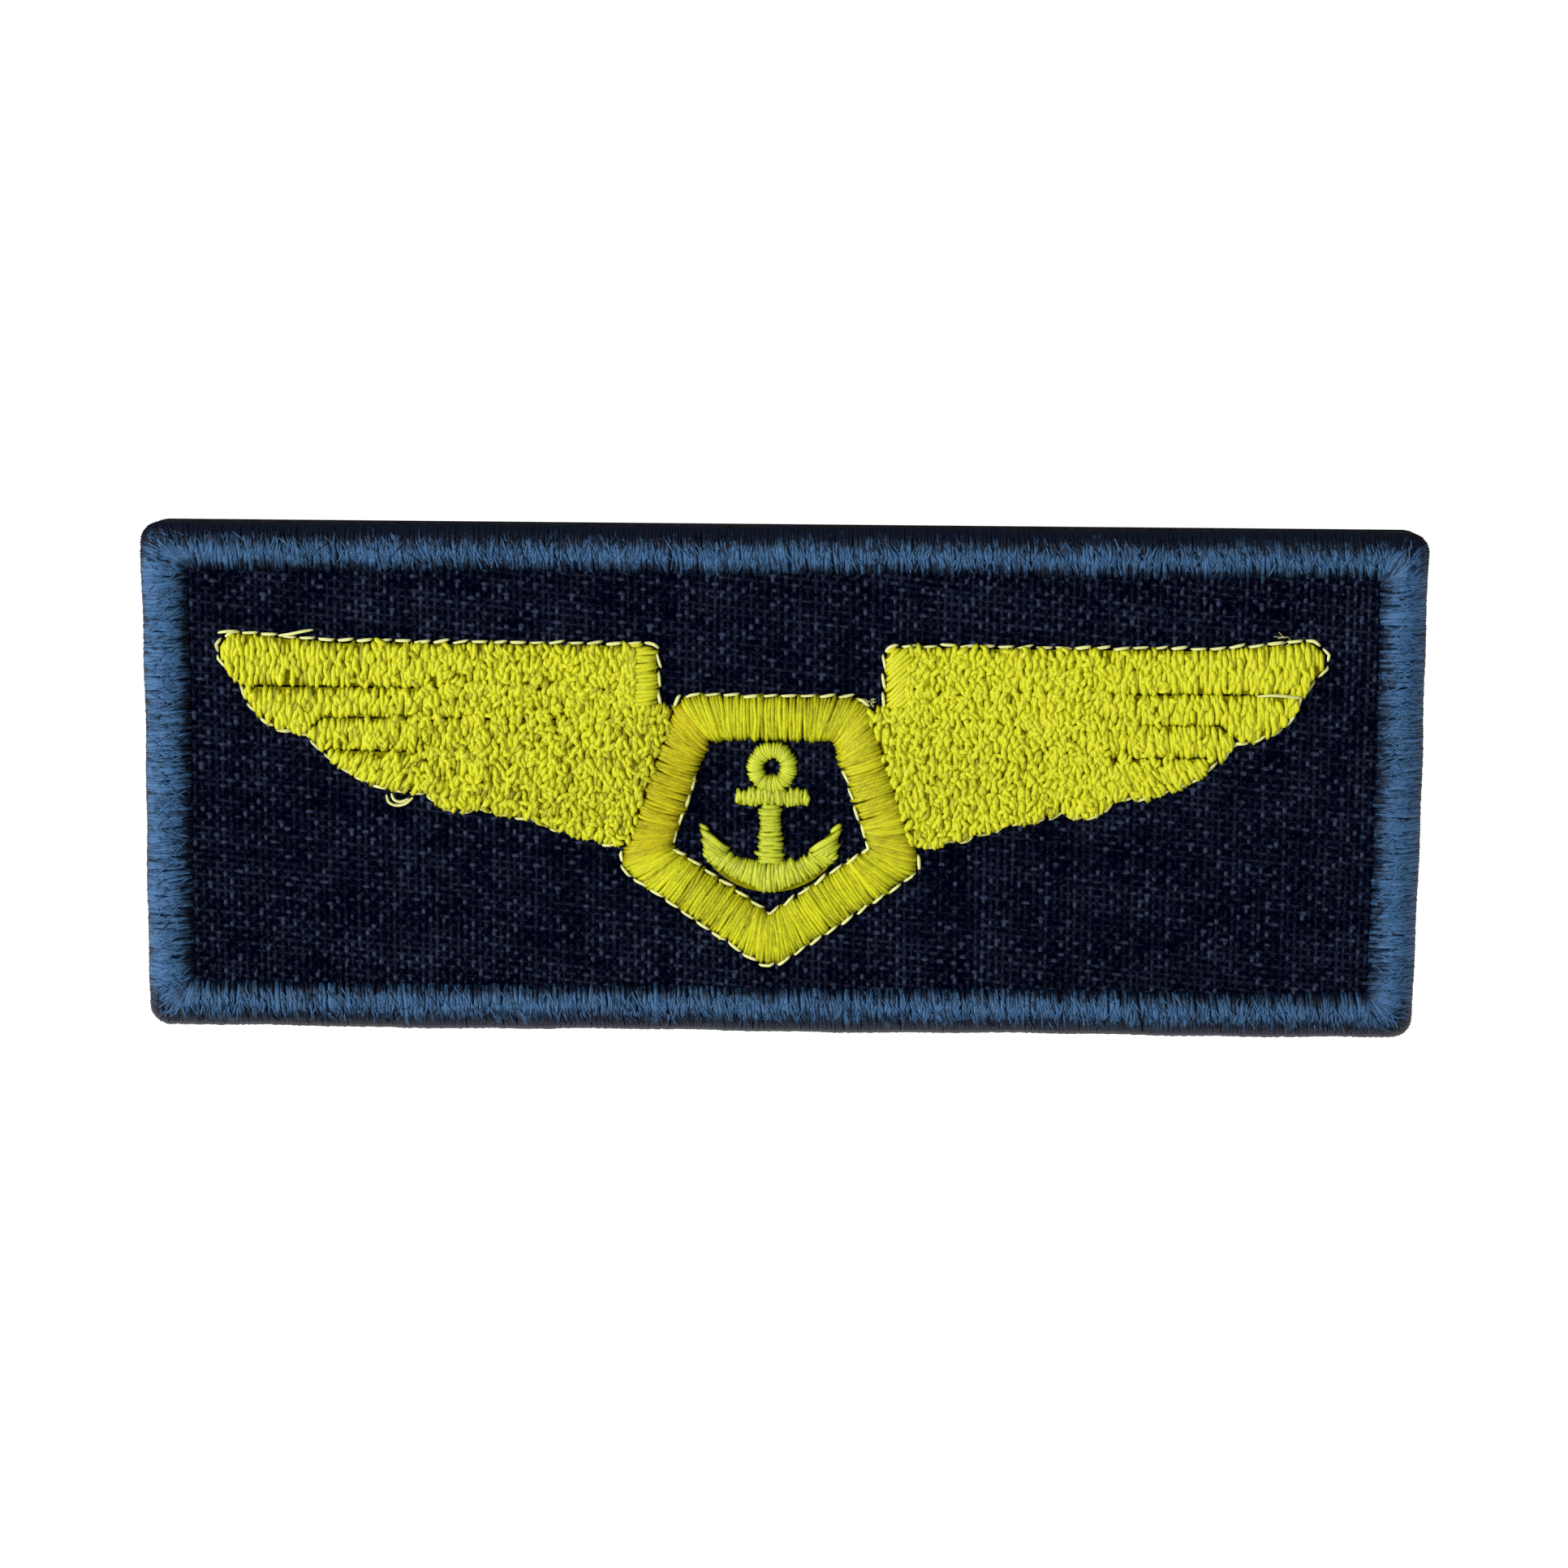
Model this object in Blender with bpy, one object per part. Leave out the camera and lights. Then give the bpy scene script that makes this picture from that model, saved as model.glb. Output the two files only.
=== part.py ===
"""Embroidered flight-crew wings patch with its hook-and-loop fastening.

The patch stands upright as worn on a chest: +X is to the right of someone who looks at
the emblem, +Z is up and the embroidered face looks towards -Y. The origin is the centre
of the loop panel's back, the face that is sewn to the garment.

Every piece is drawn flat, as (u, v) outlines in the plane of the cloth with its height w
above the garment, under an empty that stands the whole patch upright.
"""

import math

import bmesh
import bpy

MM = 0.001

# Overall size of the patch
WIDTH = 100 * MM
HEIGHT = 40 * MM
CORNER_RADIUS = 1.5 * MM

# Layers, from the garment outwards: (lowest w, highest w)
LOOP_TAPE = (0.0, 0.6 * MM)
LOOP_PILE = (0.65 * MM, 1.6 * MM)
HOOK_PILE = (1.65 * MM, 2.25 * MM)
HOOK_TAPE = (2.3 * MM, 2.8 * MM)
HOOK_SEAM = (1.95 * MM, 2.25 * MM)
STIFFENER = (2.85 * MM, 3.15 * MM)
BOBBIN_THREAD = (3.2 * MM, 3.3 * MM)
GROUND_FABRIC = (3.35 * MM, 3.75 * MM)
FACE_W = 3.8 * MM

# Heights of the embroidery above FACE_W
OUTLINE_HEIGHT = 0.4 * MM
FEATHER_HEIGHT = 0.6 * MM
SHIELD_HEIGHT = 0.75 * MM
ANCHOR_HEIGHT = 0.65 * MM

# How each kind of stitching rounds over at its edges: (inset, rise) of each step, in mm
FEATHER_CROWN = ((0.12, 0.15), (0.3, 0.08))
SHIELD_CROWN = ((0.12, 0.22), (0.28, 0.15))
ANCHOR_CROWN = ((0.1, 0.2), (0.2, 0.15))

# Margins of the fastening inside the patch's edge
PILE_MARGIN = 0.7 * MM
HOOK_TAPE_MARGIN = 4.0 * MM
HOOK_PILE_MARGIN = 6.2 * MM
HOOK_SEAM_MARGIN = 5.0 * MM
WRAPPED_MARGIN = 0.7 * MM
LAYER_CORNER_RADIUS = 0.5 * MM
PILE_EDGE = 0.3
HOOK_SEAM_WIDTH = 0.5 * MM
HOOK_SEAM_RADIUS = 0.8 * MM

# The overlocked border, as a C round the edge: (distance in from the edge, w)
BORDER_SECTION = (
    (3.5, 2.78),
    (3.5, 2.5),
    (2.8, 2.32),
    (1.1, 2.3),
    (0.35, 2.5),
    (0.05, 2.9),
    (0.0, 3.4),
    (0.08, 3.95),
    (0.4, 4.38),
    (0.9, 4.56),
    (1.5, 4.6),
    (2.2, 4.48),
    (3.0, 4.18),
    (3.7, 3.8),
    (0.6, 3.8),
    (0.6, 2.78),
)

# The emblem's own centre line, left of the patch's centre
EMBLEM_U = -0.9 * MM

# Wing outline in mm from the emblem's centre line, the right wing; the left mirrors it
WING_INNER_U = 8.75
WING_FOOT_V = 5.9
WING_TOP_V = 11.0
WING_CORNER_RADIUS = 0.9
TOP_BEND = (34.5, 11.0)
TIP_TOP = (42.2, 11.7)
TIP_END = (43.4, 10.6)
TIP_LOW = (43.3, 9.5)
TIP_CORNER_RADIUS = 0.6
# Each scallop of the trailing edge: (its inner end, how far its arc bulges)
TIP_NOTCH = (41.4, 7.2)
SCALLOPS = (
    ((36.4, 3.6), 1.15),
    ((27.0, -1.1), 1.35),
    ((22.9, -2.2), 0.9),
    ((18.3, -3.1), 0.25),
    ((16.2, -3.85), 0.35),
    ((14.0, -4.5), 0.35),
    ((12.1, -5.0), 0.3),
)
FIRST_GROOVE_V = 7.3
SECOND_GROOVE_V = 4.9
THIRD_GROOVE_V = 2.2
ROOT_U = 22.9
INNER_COLUMN_U = 11.2
SECOND_GROOVE_END = 1.3
GROOVE_CLEARANCE = 0.3
ROOT_TO_SHIELD = 0.15
FIELD_GAP = 0.16
OUTLINE_WIDTH = 0.42
OUTLINE_TO_FILL = 0.12
BOBBIN_MARGIN = 0.5

# Shield in mm: a pentagon of satin columns, point down, half of it on the right
SHIELD_INNER = ((5.05, 3.6), (8.05, -5.25), (0.0, -10.75))
SHIELD_TOP_COLUMN = 3.1
SHIELD_SIDE_COLUMN = 3.0
SHIELD_LOWER_COLUMN = 3.3
SHIELD_CORNER_RADIUS = 1.2
SHIELD_MITRE_GAP = 0.1
OUTLINE_TO_SHIELD = 0.06
SHIELD_INSIDE_TOP_V = 1.2

# Anchor in mm from the emblem's centre line
RING_CENTRE = (0.1, 1.25)
# (radius, height above the cloth)
RING_SECTION = (
    (2.0, 0.0),
    (2.0, 0.35),
    (1.7, 0.6),
    (1.35, 0.65),
    (0.95, 0.55),
    (0.7, 0.3),
    (0.7, 0.0),
)
RING_SIDES = 24
STOCK = (-2.75, 3.0, -1.75, -0.8)
STOCK_CORNER_RADIUS = 0.4
SHANK_TOP = (0.72, -1.85)
SHANK_FOOT = (0.95, -6.25)
ARMS_TIP = (4.9, -6.3)
ARMS_TOP_V = -6.35
ARMS_LOW_V = -8.75
ARMS_TIP_WIDTH = 0.9
ARMS_TOP_BULGE = -0.35
FLUKE = ((5.5, -3.3), (5.1, -6.15), (3.75, -6.15), (3.2, -5.35), (3.95, -4.7))

ARC_STEP = 0.8
GOLD = (0.62, 0.58, 0.02, 1)
AMBER = (0.66, 0.50, 0.02, 1)
CREAM = (0.75, 0.74, 0.30, 1)
NAVY = (0.006, 0.008, 0.035, 1)
BORDER_BLUE = (0.05, 0.13, 0.30, 1)
BLACK = (0.012, 0.013, 0.018, 1)
WHITE = (0.70, 0.70, 0.68, 1)


def clear_scene():
    for obj in list(bpy.data.objects):
        bpy.data.objects.remove(obj, do_unlink=True)


def material(name, colour, roughness=0.85):
    made = bpy.data.materials.new(name)
    made.use_nodes = True
    shader = made.node_tree.nodes["Principled BSDF"]
    shader.inputs["Base Color"].default_value = colour
    shader.inputs["Roughness"].default_value = roughness
    shader.inputs["Metallic"].default_value = 0.0
    made.diffuse_color = colour
    return made


def add_object(name, bm, colour, parent):
    """One named piece from a closed bmesh, in metres, under its body's empty."""
    bmesh.ops.recalc_face_normals(bm, faces=bm.faces)
    mesh = bpy.data.meshes.new(name)
    bm.to_mesh(mesh)
    bm.free()
    mesh.shade_smooth()
    mesh.set_sharp_from_angle(angle=math.radians(35))
    mesh.materials.append(material(name, colour))
    obj = bpy.data.objects.new(name, mesh)
    bpy.context.scene.collection.objects.link(obj)
    obj.parent = parent
    return obj


def arc(start, end, bulge):
    """Points after start up to end on the arc that bulges to the right of the way there."""
    run = (end[0] - start[0], end[1] - start[1])
    chord = math.hypot(*run)
    steps = max(2, round(chord / ARC_STEP))
    right = (run[1] / chord, -run[0] / chord)
    radius = (chord * chord / 4 + bulge * bulge) / (2 * bulge)
    half_angle = math.asin(min(1.0, chord / 2 / radius))
    points = []
    for i in range(1, steps + 1):
        angle = half_angle * (2 * i / steps - 1)
        along = 0.5 + 0.5 * math.sin(angle) / math.sin(half_angle)
        out = radius * math.cos(angle) - radius + bulge
        points.append(
            (
                start[0] + run[0] * along + right[0] * out,
                start[1] + run[1] * along + right[1] * out,
            )
        )
    return points


def rounded(before, corner, after, radius, steps=4):
    """The corner replaced by an arc, its middle point on the corner's bisector."""

    def towards(point):
        run = (point[0] - corner[0], point[1] - corner[1])
        size = math.hypot(*run)
        return run[0] / size, run[1] / size

    a, b = towards(before), towards(after)
    half = math.acos(max(-1.0, min(1.0, a[0] * b[0] + a[1] * b[1]))) / 2
    middle = (a[0] + b[0], a[1] + b[1])
    size = math.hypot(*middle)
    centre = (
        corner[0] + middle[0] / size * radius / math.sin(half),
        corner[1] + middle[1] / size * radius / math.sin(half),
    )
    tangent = radius / math.tan(half)
    first = (corner[0] + a[0] * tangent, corner[1] + a[1] * tangent)
    start = math.atan2(first[1] - centre[1], first[0] - centre[0])
    last = (corner[0] + b[0] * tangent, corner[1] + b[1] * tangent)
    sweep = math.atan2(last[1] - centre[1], last[0] - centre[0]) - start
    sweep = (sweep + math.pi) % (2 * math.pi) - math.pi
    return [
        (
            centre[0] + radius * math.cos(start + sweep * i / steps),
            centre[1] + radius * math.sin(start + sweep * i / steps),
        )
        for i in range(steps + 1)
    ]


def area(points):
    pairs = zip(points, points[1:] + points[:1])
    return sum(a[0] * b[1] - b[0] * a[1] for a, b in pairs) / 2


def offset(points, distance, closed=True):
    """The outline moved to its left by distance, which is inwards if it runs anticlockwise."""
    moved = []
    count = len(points)
    for i, (x, y) in enumerate(points):
        before = points[i - 1] if closed or i else None
        after = points[(i + 1) % count] if closed or i < count - 1 else None
        normals = []
        for a, b in ((before, (x, y)), ((x, y), after)):
            if a is None or b is None:
                continue
            size = math.hypot(b[0] - a[0], b[1] - a[1])
            normals.append(((a[1] - b[1]) / size, (b[0] - a[0]) / size))
        first, last = normals[0], normals[-1]
        scale = distance / (1 + first[0] * last[0] + first[1] * last[1])
        moved.append((x + (first[0] + last[0]) * scale, y + (first[1] + last[1]) * scale))
    return moved


def mirrored(points):
    return [(-x, y) for x, y in points]


def placed(points, shift=EMBLEM_U):
    """Millimetre outline to metres, anticlockwise, moved to the emblem's place."""
    if area(points) < 0:
        points = points[::-1]
    return [(x * MM + shift, y * MM) for x, y in points]


def prism(outline, low, high, crown=()):
    """An extruded outline whose top edge steps in by each (inset, rise) of crown, in mm."""
    bm = bmesh.new()
    face = bm.faces.new([bm.verts.new((x, y, low)) for x, y in outline])
    rise = sum(step[1] for step in crown) * MM
    made = bmesh.ops.extrude_face_region(bm, geom=[face])["geom"]
    top = next(item for item in made if isinstance(item, bmesh.types.BMFace))
    for vert in top.verts:
        vert.co.z = high - rise
    top.normal_update()
    for inset, up in crown:
        turned = 1 if top.normal.z > 0 else -1
        bmesh.ops.inset_individual(
            bm, faces=[top], thickness=inset * MM, depth=up * MM * turned, use_even_offset=True
        )
    return bm


def band(path, width, low, high, closed):
    """A flat strip of the given width along a path, in metres."""
    left = offset(path, width / 2, closed)
    right = offset(path, -width / 2, closed)
    bm = bmesh.new()
    rings = []
    for (lx, ly), (rx, ry) in zip(left, right):
        corners = ((lx, ly, low), (rx, ry, low), (rx, ry, high), (lx, ly, high))
        rings.append([bm.verts.new(corner) for corner in corners])
    count = len(rings)
    for i in range(count if closed else count - 1):
        near, far = rings[i], rings[(i + 1) % count]
        for k in range(4):
            bm.faces.new((near[k], near[(k + 1) % 4], far[(k + 1) % 4], far[k]))
    if not closed:
        bm.faces.new(rings[0])
        bm.faces.new(rings[-1])
    return bm


def rounded_rectangle(width, height, radius, steps=5):
    corners = [
        (width / 2, height / 2),
        (-width / 2, height / 2),
        (-width / 2, -height / 2),
        (width / 2, -height / 2),
    ]
    points = []
    for i, corner in enumerate(corners):
        points += rounded(corners[i - 1], corner, corners[(i + 1) % 4], radius, steps)
    return points


def sheet(name, margin, layer, colour, parent, edge=0.0):
    """A flat layer of the patch, its outline margin inside the patch's edge."""
    radius = max(LAYER_CORNER_RADIUS, CORNER_RADIUS - margin)
    outline = rounded_rectangle(WIDTH - 2 * margin, HEIGHT - 2 * margin, radius)
    crown = ((edge, edge * 0.6),) if edge else ()
    return add_object(name, prism(outline, *layer, crown), colour, parent)


def make_border(parent):
    """One ring of overlock stitching, C-shaped in section, round the cloth's edge."""
    bm = bmesh.new()
    rings = []
    for inward, w in BORDER_SECTION:
        radius = max(LAYER_CORNER_RADIUS, CORNER_RADIUS - inward * MM)
        inner_width = WIDTH - 2 * inward * MM
        inner_height = HEIGHT - 2 * inward * MM
        outline = rounded_rectangle(inner_width, inner_height, radius)
        rings.append([bm.verts.new((x, y, w * MM)) for x, y in outline])
    for i, near in enumerate(rings):
        far = rings[(i + 1) % len(rings)]
        count = len(near)
        for k in range(count):
            bm.faces.new((near[k], near[(k + 1) % count], far[(k + 1) % count], far[k]))
    return add_object("edge_border", bm, BORDER_BLUE, parent)


def shield_line_u(v, margin=0.0):
    """Where the outer edge of the shield's upper side is, at height v."""
    (top_u, top_v), (low_u, low_v), _ = SHIELD_INNER
    slope = (low_u - top_u) / (top_v - low_v)
    width = (SHIELD_SIDE_COLUMN + margin) * math.hypot(1, slope)
    return top_u + slope * (top_v - v) + width


def scallop_points(first, last, start):
    """The trailing edge from start, over the scallops numbered first to last."""
    points = [start]
    for end, bulge in SCALLOPS[first : last + 1]:
        points += arc(points[-1], end, -bulge)
    return points


def tip_points():
    """The wing's top corner and rounded tip, down to the first notch."""
    corner = rounded(TOP_BEND, TIP_TOP, TIP_END, TIP_CORNER_RADIUS, 2)
    return [*corner, TIP_END, TIP_LOW, TIP_NOTCH]


def wing_path():
    """The whole outline stitch of a wing, from the shield's shoulder round to its foot."""
    inner_top = (WING_INNER_U, WING_TOP_V)
    corner = rounded((WING_INNER_U, WING_FOOT_V), inner_top, TOP_BEND, WING_CORNER_RADIUS)
    edge = scallop_points(0, len(SCALLOPS) - 1, TIP_NOTCH)
    return [(WING_INNER_U, WING_FOOT_V), *corner, TOP_BEND, *tip_points(), *edge[1:]]


def wing_fields():
    """The stitched fields of a wing: name to outline, drawn out to the outline stitch."""
    inner_top = (WING_INNER_U, WING_TOP_V)
    corner = rounded((WING_INNER_U, WING_FOOT_V), inner_top, TOP_BEND, WING_CORNER_RADIUS)
    notch_2, notch_3, notch_4 = (SCALLOPS[i][0] for i in range(3))
    third_scallop = scallop_points(1, 1, notch_2)
    above = [p for p in third_scallop if p[1] > THIRD_GROOVE_V + GROOVE_CLEARANCE]
    below = [p for p in third_scallop if p[1] < THIRD_GROOVE_V - GROOVE_CLEARANCE]
    cross_u = (above[-1][0] + below[0][0]) / 2
    shield_low = shield_line_u(SCALLOPS[-1][0][1], ROOT_TO_SHIELD)
    shield_high = shield_line_u(WING_FOOT_V, ROOT_TO_SHIELD)
    return {
        "inner_column": [
            (WING_INNER_U, WING_FOOT_V),
            *corner,
            (INNER_COLUMN_U, WING_TOP_V),
            (INNER_COLUMN_U, WING_FOOT_V),
        ],
        "first_feather": [
            (INNER_COLUMN_U, FIRST_GROOVE_V),
            (INNER_COLUMN_U, WING_TOP_V),
            TOP_BEND,
            *tip_points()[:-1],
            (TIP_NOTCH[0], FIRST_GROOVE_V),
        ],
        "second_feather": [
            (INNER_COLUMN_U, SECOND_GROOVE_V),
            (INNER_COLUMN_U, FIRST_GROOVE_V),
            (TIP_NOTCH[0] - 0.1, FIRST_GROOVE_V),
            *scallop_points(0, 0, TIP_NOTCH)[1:],
            (notch_2[0] - SECOND_GROOVE_END, SECOND_GROOVE_V),
        ],
        "third_feather": [
            (ROOT_U, THIRD_GROOVE_V),
            (ROOT_U, SECOND_GROOVE_V),
            (notch_2[0] - SECOND_GROOVE_END, SECOND_GROOVE_V),
            *above,
            (cross_u, THIRD_GROOVE_V),
        ],
        "fourth_feather": [
            notch_3,
            (notch_3[0], THIRD_GROOVE_V),
            (cross_u, THIRD_GROOVE_V),
            *below[:-1],
        ],
        "fifth_feather": [
            notch_4,
            (ROOT_U, THIRD_GROOVE_V),
            (notch_3[0], THIRD_GROOVE_V),
            *scallop_points(2, 2, notch_3)[:-1],
        ],
        "root_fill": [
            (shield_low, SCALLOPS[-1][0][1]),
            (shield_high, WING_FOOT_V),
            (INNER_COLUMN_U, WING_FOOT_V),
            (INNER_COLUMN_U, SECOND_GROOVE_V),
            (ROOT_U, SECOND_GROOVE_V),
            *scallop_points(3, len(SCALLOPS) - 1, notch_4),
        ],
    }


def make_wing(side, parent):
    """The fields and the outline stitch of one wing; side is left or right."""
    turn = mirrored if side == "left" else list
    edge_inset = OUTLINE_WIDTH / 2 + OUTLINE_TO_FILL
    top = FACE_W + FEATHER_HEIGHT
    for name, outline in wing_fields().items():
        outline = outline if area(outline) > 0 else outline[::-1]
        fill = placed(turn(offset(outline, FIELD_GAP)))
        fill = fit_inside(fill, placed(turn(wing_path())), edge_inset * MM)
        add_object(f"{side}_{name}", prism(fill, FACE_W, top, FEATHER_CROWN), GOLD, parent)
    path = [(x * MM + EMBLEM_U, y * MM) for x, y in turn(wing_path())]
    strip = band(path, OUTLINE_WIDTH * MM, FACE_W, FACE_W + OUTLINE_HEIGHT, False)
    add_object(f"{side}_wing_outline", strip, CREAM, parent)


def fit_inside(outline, edge, gap):
    """Moves the points that lie closer than gap to the edge path inwards, to that gap."""
    moved = []
    for x, y in outline:
        for _ in range(3):
            nearest, near = None, gap
            for a, b in zip(edge, edge[1:]):
                run = (b[0] - a[0], b[1] - a[1])
                share = ((x - a[0]) * run[0] + (y - a[1]) * run[1]) / (run[0] ** 2 + run[1] ** 2)
                share = max(0.0, min(1.0, share))
                foot = (a[0] + run[0] * share, a[1] + run[1] * share)
                far = math.hypot(x - foot[0], y - foot[1])
                if far < near - 1e-7:
                    nearest, near = foot, far
            if nearest is None:
                break
            push = gap / near - 1
            x += (x - nearest[0]) * push
            y += (y - nearest[1]) * push
        moved.append((x, y))
    return moved


def line_meet(p, d, q, e):
    """Where the line through p along d meets the line through q along e."""
    cross = d[0] * e[1] - d[1] * e[0]
    share = ((q[0] - p[0]) * e[1] - (q[1] - p[1]) * e[0]) / cross
    return p[0] + d[0] * share, p[1] + d[1] * share


def shield_rings():
    """Inner and outer corners of the shield, clockwise from the top left."""
    (top_u, top_v), (low_u, low_v), (_, tip_v) = SHIELD_INNER
    inner = [(-top_u, top_v), (top_u, top_v), (low_u, low_v), (0.0, tip_v), (-low_u, low_v)]
    widths = [
        SHIELD_TOP_COLUMN,
        SHIELD_SIDE_COLUMN,
        SHIELD_LOWER_COLUMN,
        SHIELD_LOWER_COLUMN,
        SHIELD_SIDE_COLUMN,
    ]
    lines = []
    for i, width in enumerate(widths):
        a, b = inner[i], inner[(i + 1) % 5]
        run = (b[0] - a[0], b[1] - a[1])
        size = math.hypot(*run)
        out = (-run[1] / size * width, run[0] / size * width)
        lines.append(((a[0] + out[0], a[1] + out[1]), run))
    outer = [line_meet(*lines[i - 1], *lines[i]) for i in range(5)]
    return inner, outer


def make_shield(parent):
    inner, outer = shield_rings()
    corners = [
        rounded(outer[i - 1], outer[i], outer[(i + 1) % 5], SHIELD_CORNER_RADIUS, 2)
        for i in range(5)
    ]
    names = ("top", "right_side", "lower_right", "lower_left", "left_side")
    colours = (AMBER, AMBER, GOLD, GOLD, AMBER)
    for i, (name, colour) in enumerate(zip(names, colours)):
        far = (i + 1) % 5
        outline = [inner[i], *corners[i][1:], *corners[far][:2], inner[far]]
        outline = outline if area(outline) > 0 else outline[::-1]
        column = placed(offset(outline, SHIELD_MITRE_GAP / 2))
        bm = prism(column, FACE_W, FACE_W + SHIELD_HEIGHT, SHIELD_CROWN)
        add_object(f"shield_{name}", bm, colour, parent)
    make_shield_outlines(inner, corners, parent)


def make_shield_outlines(inner, corners, parent):
    """Running stitch along the shield's top, round its lower part, and inside it."""
    clear = OUTLINE_WIDTH / 2 + OUTLINE_TO_SHIELD
    around = offset([point for corner in corners for point in corner], clear)

    # The top run goes from shoulder to shoulder, just above the wings' foot.
    shoulder_v = WING_FOOT_V + 0.05
    side_u = shield_line_u(shoulder_v, clear)
    above = [p for p in around if p[1] > WING_FOOT_V + 0.2]
    left_first = [p for p in above if p[0] < 0]
    right_last = [p for p in above if p[0] > 0]
    top = [(-side_u, shoulder_v), *left_first, *right_last, (side_u, shoulder_v)]

    # The lower run starts just under the wings.
    foot_v = SCALLOPS[-1][0][1] - 0.5
    foot_u = shield_line_u(foot_v, clear)
    below = [p for p in around if p[1] < foot_v]
    lower = [(foot_u, foot_v), *below, (-foot_u, foot_v)]

    # The inner run leaves out the top and the upper ends of the sides.
    within = offset(inner, -clear)
    share = (inner[1][1] - SHIELD_INSIDE_TOP_V) / (inner[1][1] - inner[2][1])
    start_u = within[1][0] + (within[2][0] - within[1][0]) * share
    inside = [(start_u, SHIELD_INSIDE_TOP_V), *within[2:], (-start_u, SHIELD_INSIDE_TOP_V)]

    runs = (("top_outline", top), ("lower_outline", lower), ("inner_outline", inside))
    for name, run in runs:
        path = [(x * MM + EMBLEM_U, y * MM) for x, y in run]
        strip = band(path, OUTLINE_WIDTH * MM, FACE_W, FACE_W + OUTLINE_HEIGHT, False)
        add_object(f"shield_{name}", strip, CREAM, parent)


def make_anchor_ring(parent):
    """A crowned ring of satin, turned as a profile round its own centre."""
    bm = bmesh.new()
    rings = []
    for i in range(RING_SIDES):
        angle = 2 * math.pi * i / RING_SIDES
        ring = []
        for radius, height in RING_SECTION:
            x = (RING_CENTRE[0] + radius * math.cos(angle)) * MM + EMBLEM_U
            y = (RING_CENTRE[1] + radius * math.sin(angle)) * MM
            ring.append(bm.verts.new((x, y, FACE_W + height * MM)))
        rings.append(ring)
    count = len(RING_SECTION)
    for i, near in enumerate(rings):
        far = rings[(i + 1) % RING_SIDES]
        for k in range(count):
            bm.faces.new((near[k], near[(k + 1) % count], far[(k + 1) % count], far[k]))
    add_object("anchor_ring", bm, GOLD, parent)


def make_anchor(parent):
    make_anchor_ring(parent)
    top = FACE_W + ANCHOR_HEIGHT
    low_u, high_u, low_v, high_v = STOCK
    stock = [(low_u, low_v), (high_u, low_v), (high_u, high_v), (low_u, high_v)]
    ends = []
    for i, corner in enumerate(stock):
        ends += rounded(stock[i - 1], corner, stock[(i + 1) % 4], STOCK_CORNER_RADIUS, 3)
    shank = [
        (-SHANK_TOP[0], SHANK_TOP[1]),
        SHANK_TOP,
        SHANK_FOOT,
        (-SHANK_FOOT[0], SHANK_FOOT[1]),
    ]
    tip_u, tip_v = ARMS_TIP
    low = arc((-tip_u, tip_v), (tip_u, tip_v), tip_v - ARMS_LOW_V)
    inner_u = tip_u - ARMS_TIP_WIDTH
    upper = arc((inner_u, tip_v), (-inner_u, tip_v), ARMS_TOP_BULGE)
    arms = [(-tip_u, tip_v), *low, (inner_u, tip_v), *upper]
    arms = [(x, min(y, ARMS_TOP_V)) for x, y in arms]
    pieces = {
        "anchor_stock": ends,
        "anchor_shank": shank,
        "anchor_arms": arms,
        "anchor_right_fluke": list(FLUKE),
        "anchor_left_fluke": mirrored(FLUKE),
    }
    for name, outline in pieces.items():
        add_object(name, prism(placed(outline), FACE_W, top, ANCHOR_CROWN), GOLD, parent)


def make_bobbin_thread(parent):
    """The underside of the emblem's stitching, one thin layer of bobbin thread."""
    _, outer = shield_rings()
    side_corner = (outer[2][0] - BOBBIN_MARGIN, outer[2][1] + 2 * BOBBIN_MARGIN)
    half = [*wing_path()[:-1], side_corner]
    outline = [*half, outer[3], *mirrored(half)[::-1]]
    add_object("bobbin_thread", prism(placed(outline), *BOBBIN_THREAD), WHITE, parent)


def empty(name):
    """A body's empty, standing the flat-drawn pieces upright with their face to -Y."""
    obj = bpy.data.objects.new(name, None)
    bpy.context.scene.collection.objects.link(obj)
    obj.rotation_euler = (math.radians(90), 0, 0)
    obj.empty_display_size = 0.01
    return obj


def main():
    clear_scene()
    garment_side = empty("garment_side")
    patch = empty("patch")
    sheet("loop_tape", 0.0, LOOP_TAPE, BLACK, garment_side)
    sheet("loop_pile", PILE_MARGIN, LOOP_PILE, BLACK, garment_side, PILE_EDGE)
    sheet("hook_pile", HOOK_PILE_MARGIN, HOOK_PILE, BLACK, patch)
    sheet("hook_tape", HOOK_TAPE_MARGIN, HOOK_TAPE, BLACK, patch)
    seam_width = 2 * HOOK_SEAM_MARGIN
    seam = rounded_rectangle(WIDTH - seam_width, HEIGHT - seam_width, HOOK_SEAM_RADIUS, 3)
    add_object("hook_seam", band(seam, HOOK_SEAM_WIDTH, *HOOK_SEAM, True), NAVY, patch)
    sheet("stiffener", WRAPPED_MARGIN, STIFFENER, WHITE, patch)
    make_bobbin_thread(patch)
    sheet("ground_fabric", WRAPPED_MARGIN, GROUND_FABRIC, NAVY, patch)
    make_border(patch)
    make_wing("left", patch)
    make_wing("right", patch)
    make_shield(patch)
    make_anchor(patch)


main()
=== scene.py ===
import math

import bpy
import numpy as np
from mathutils import Matrix, Vector


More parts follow.
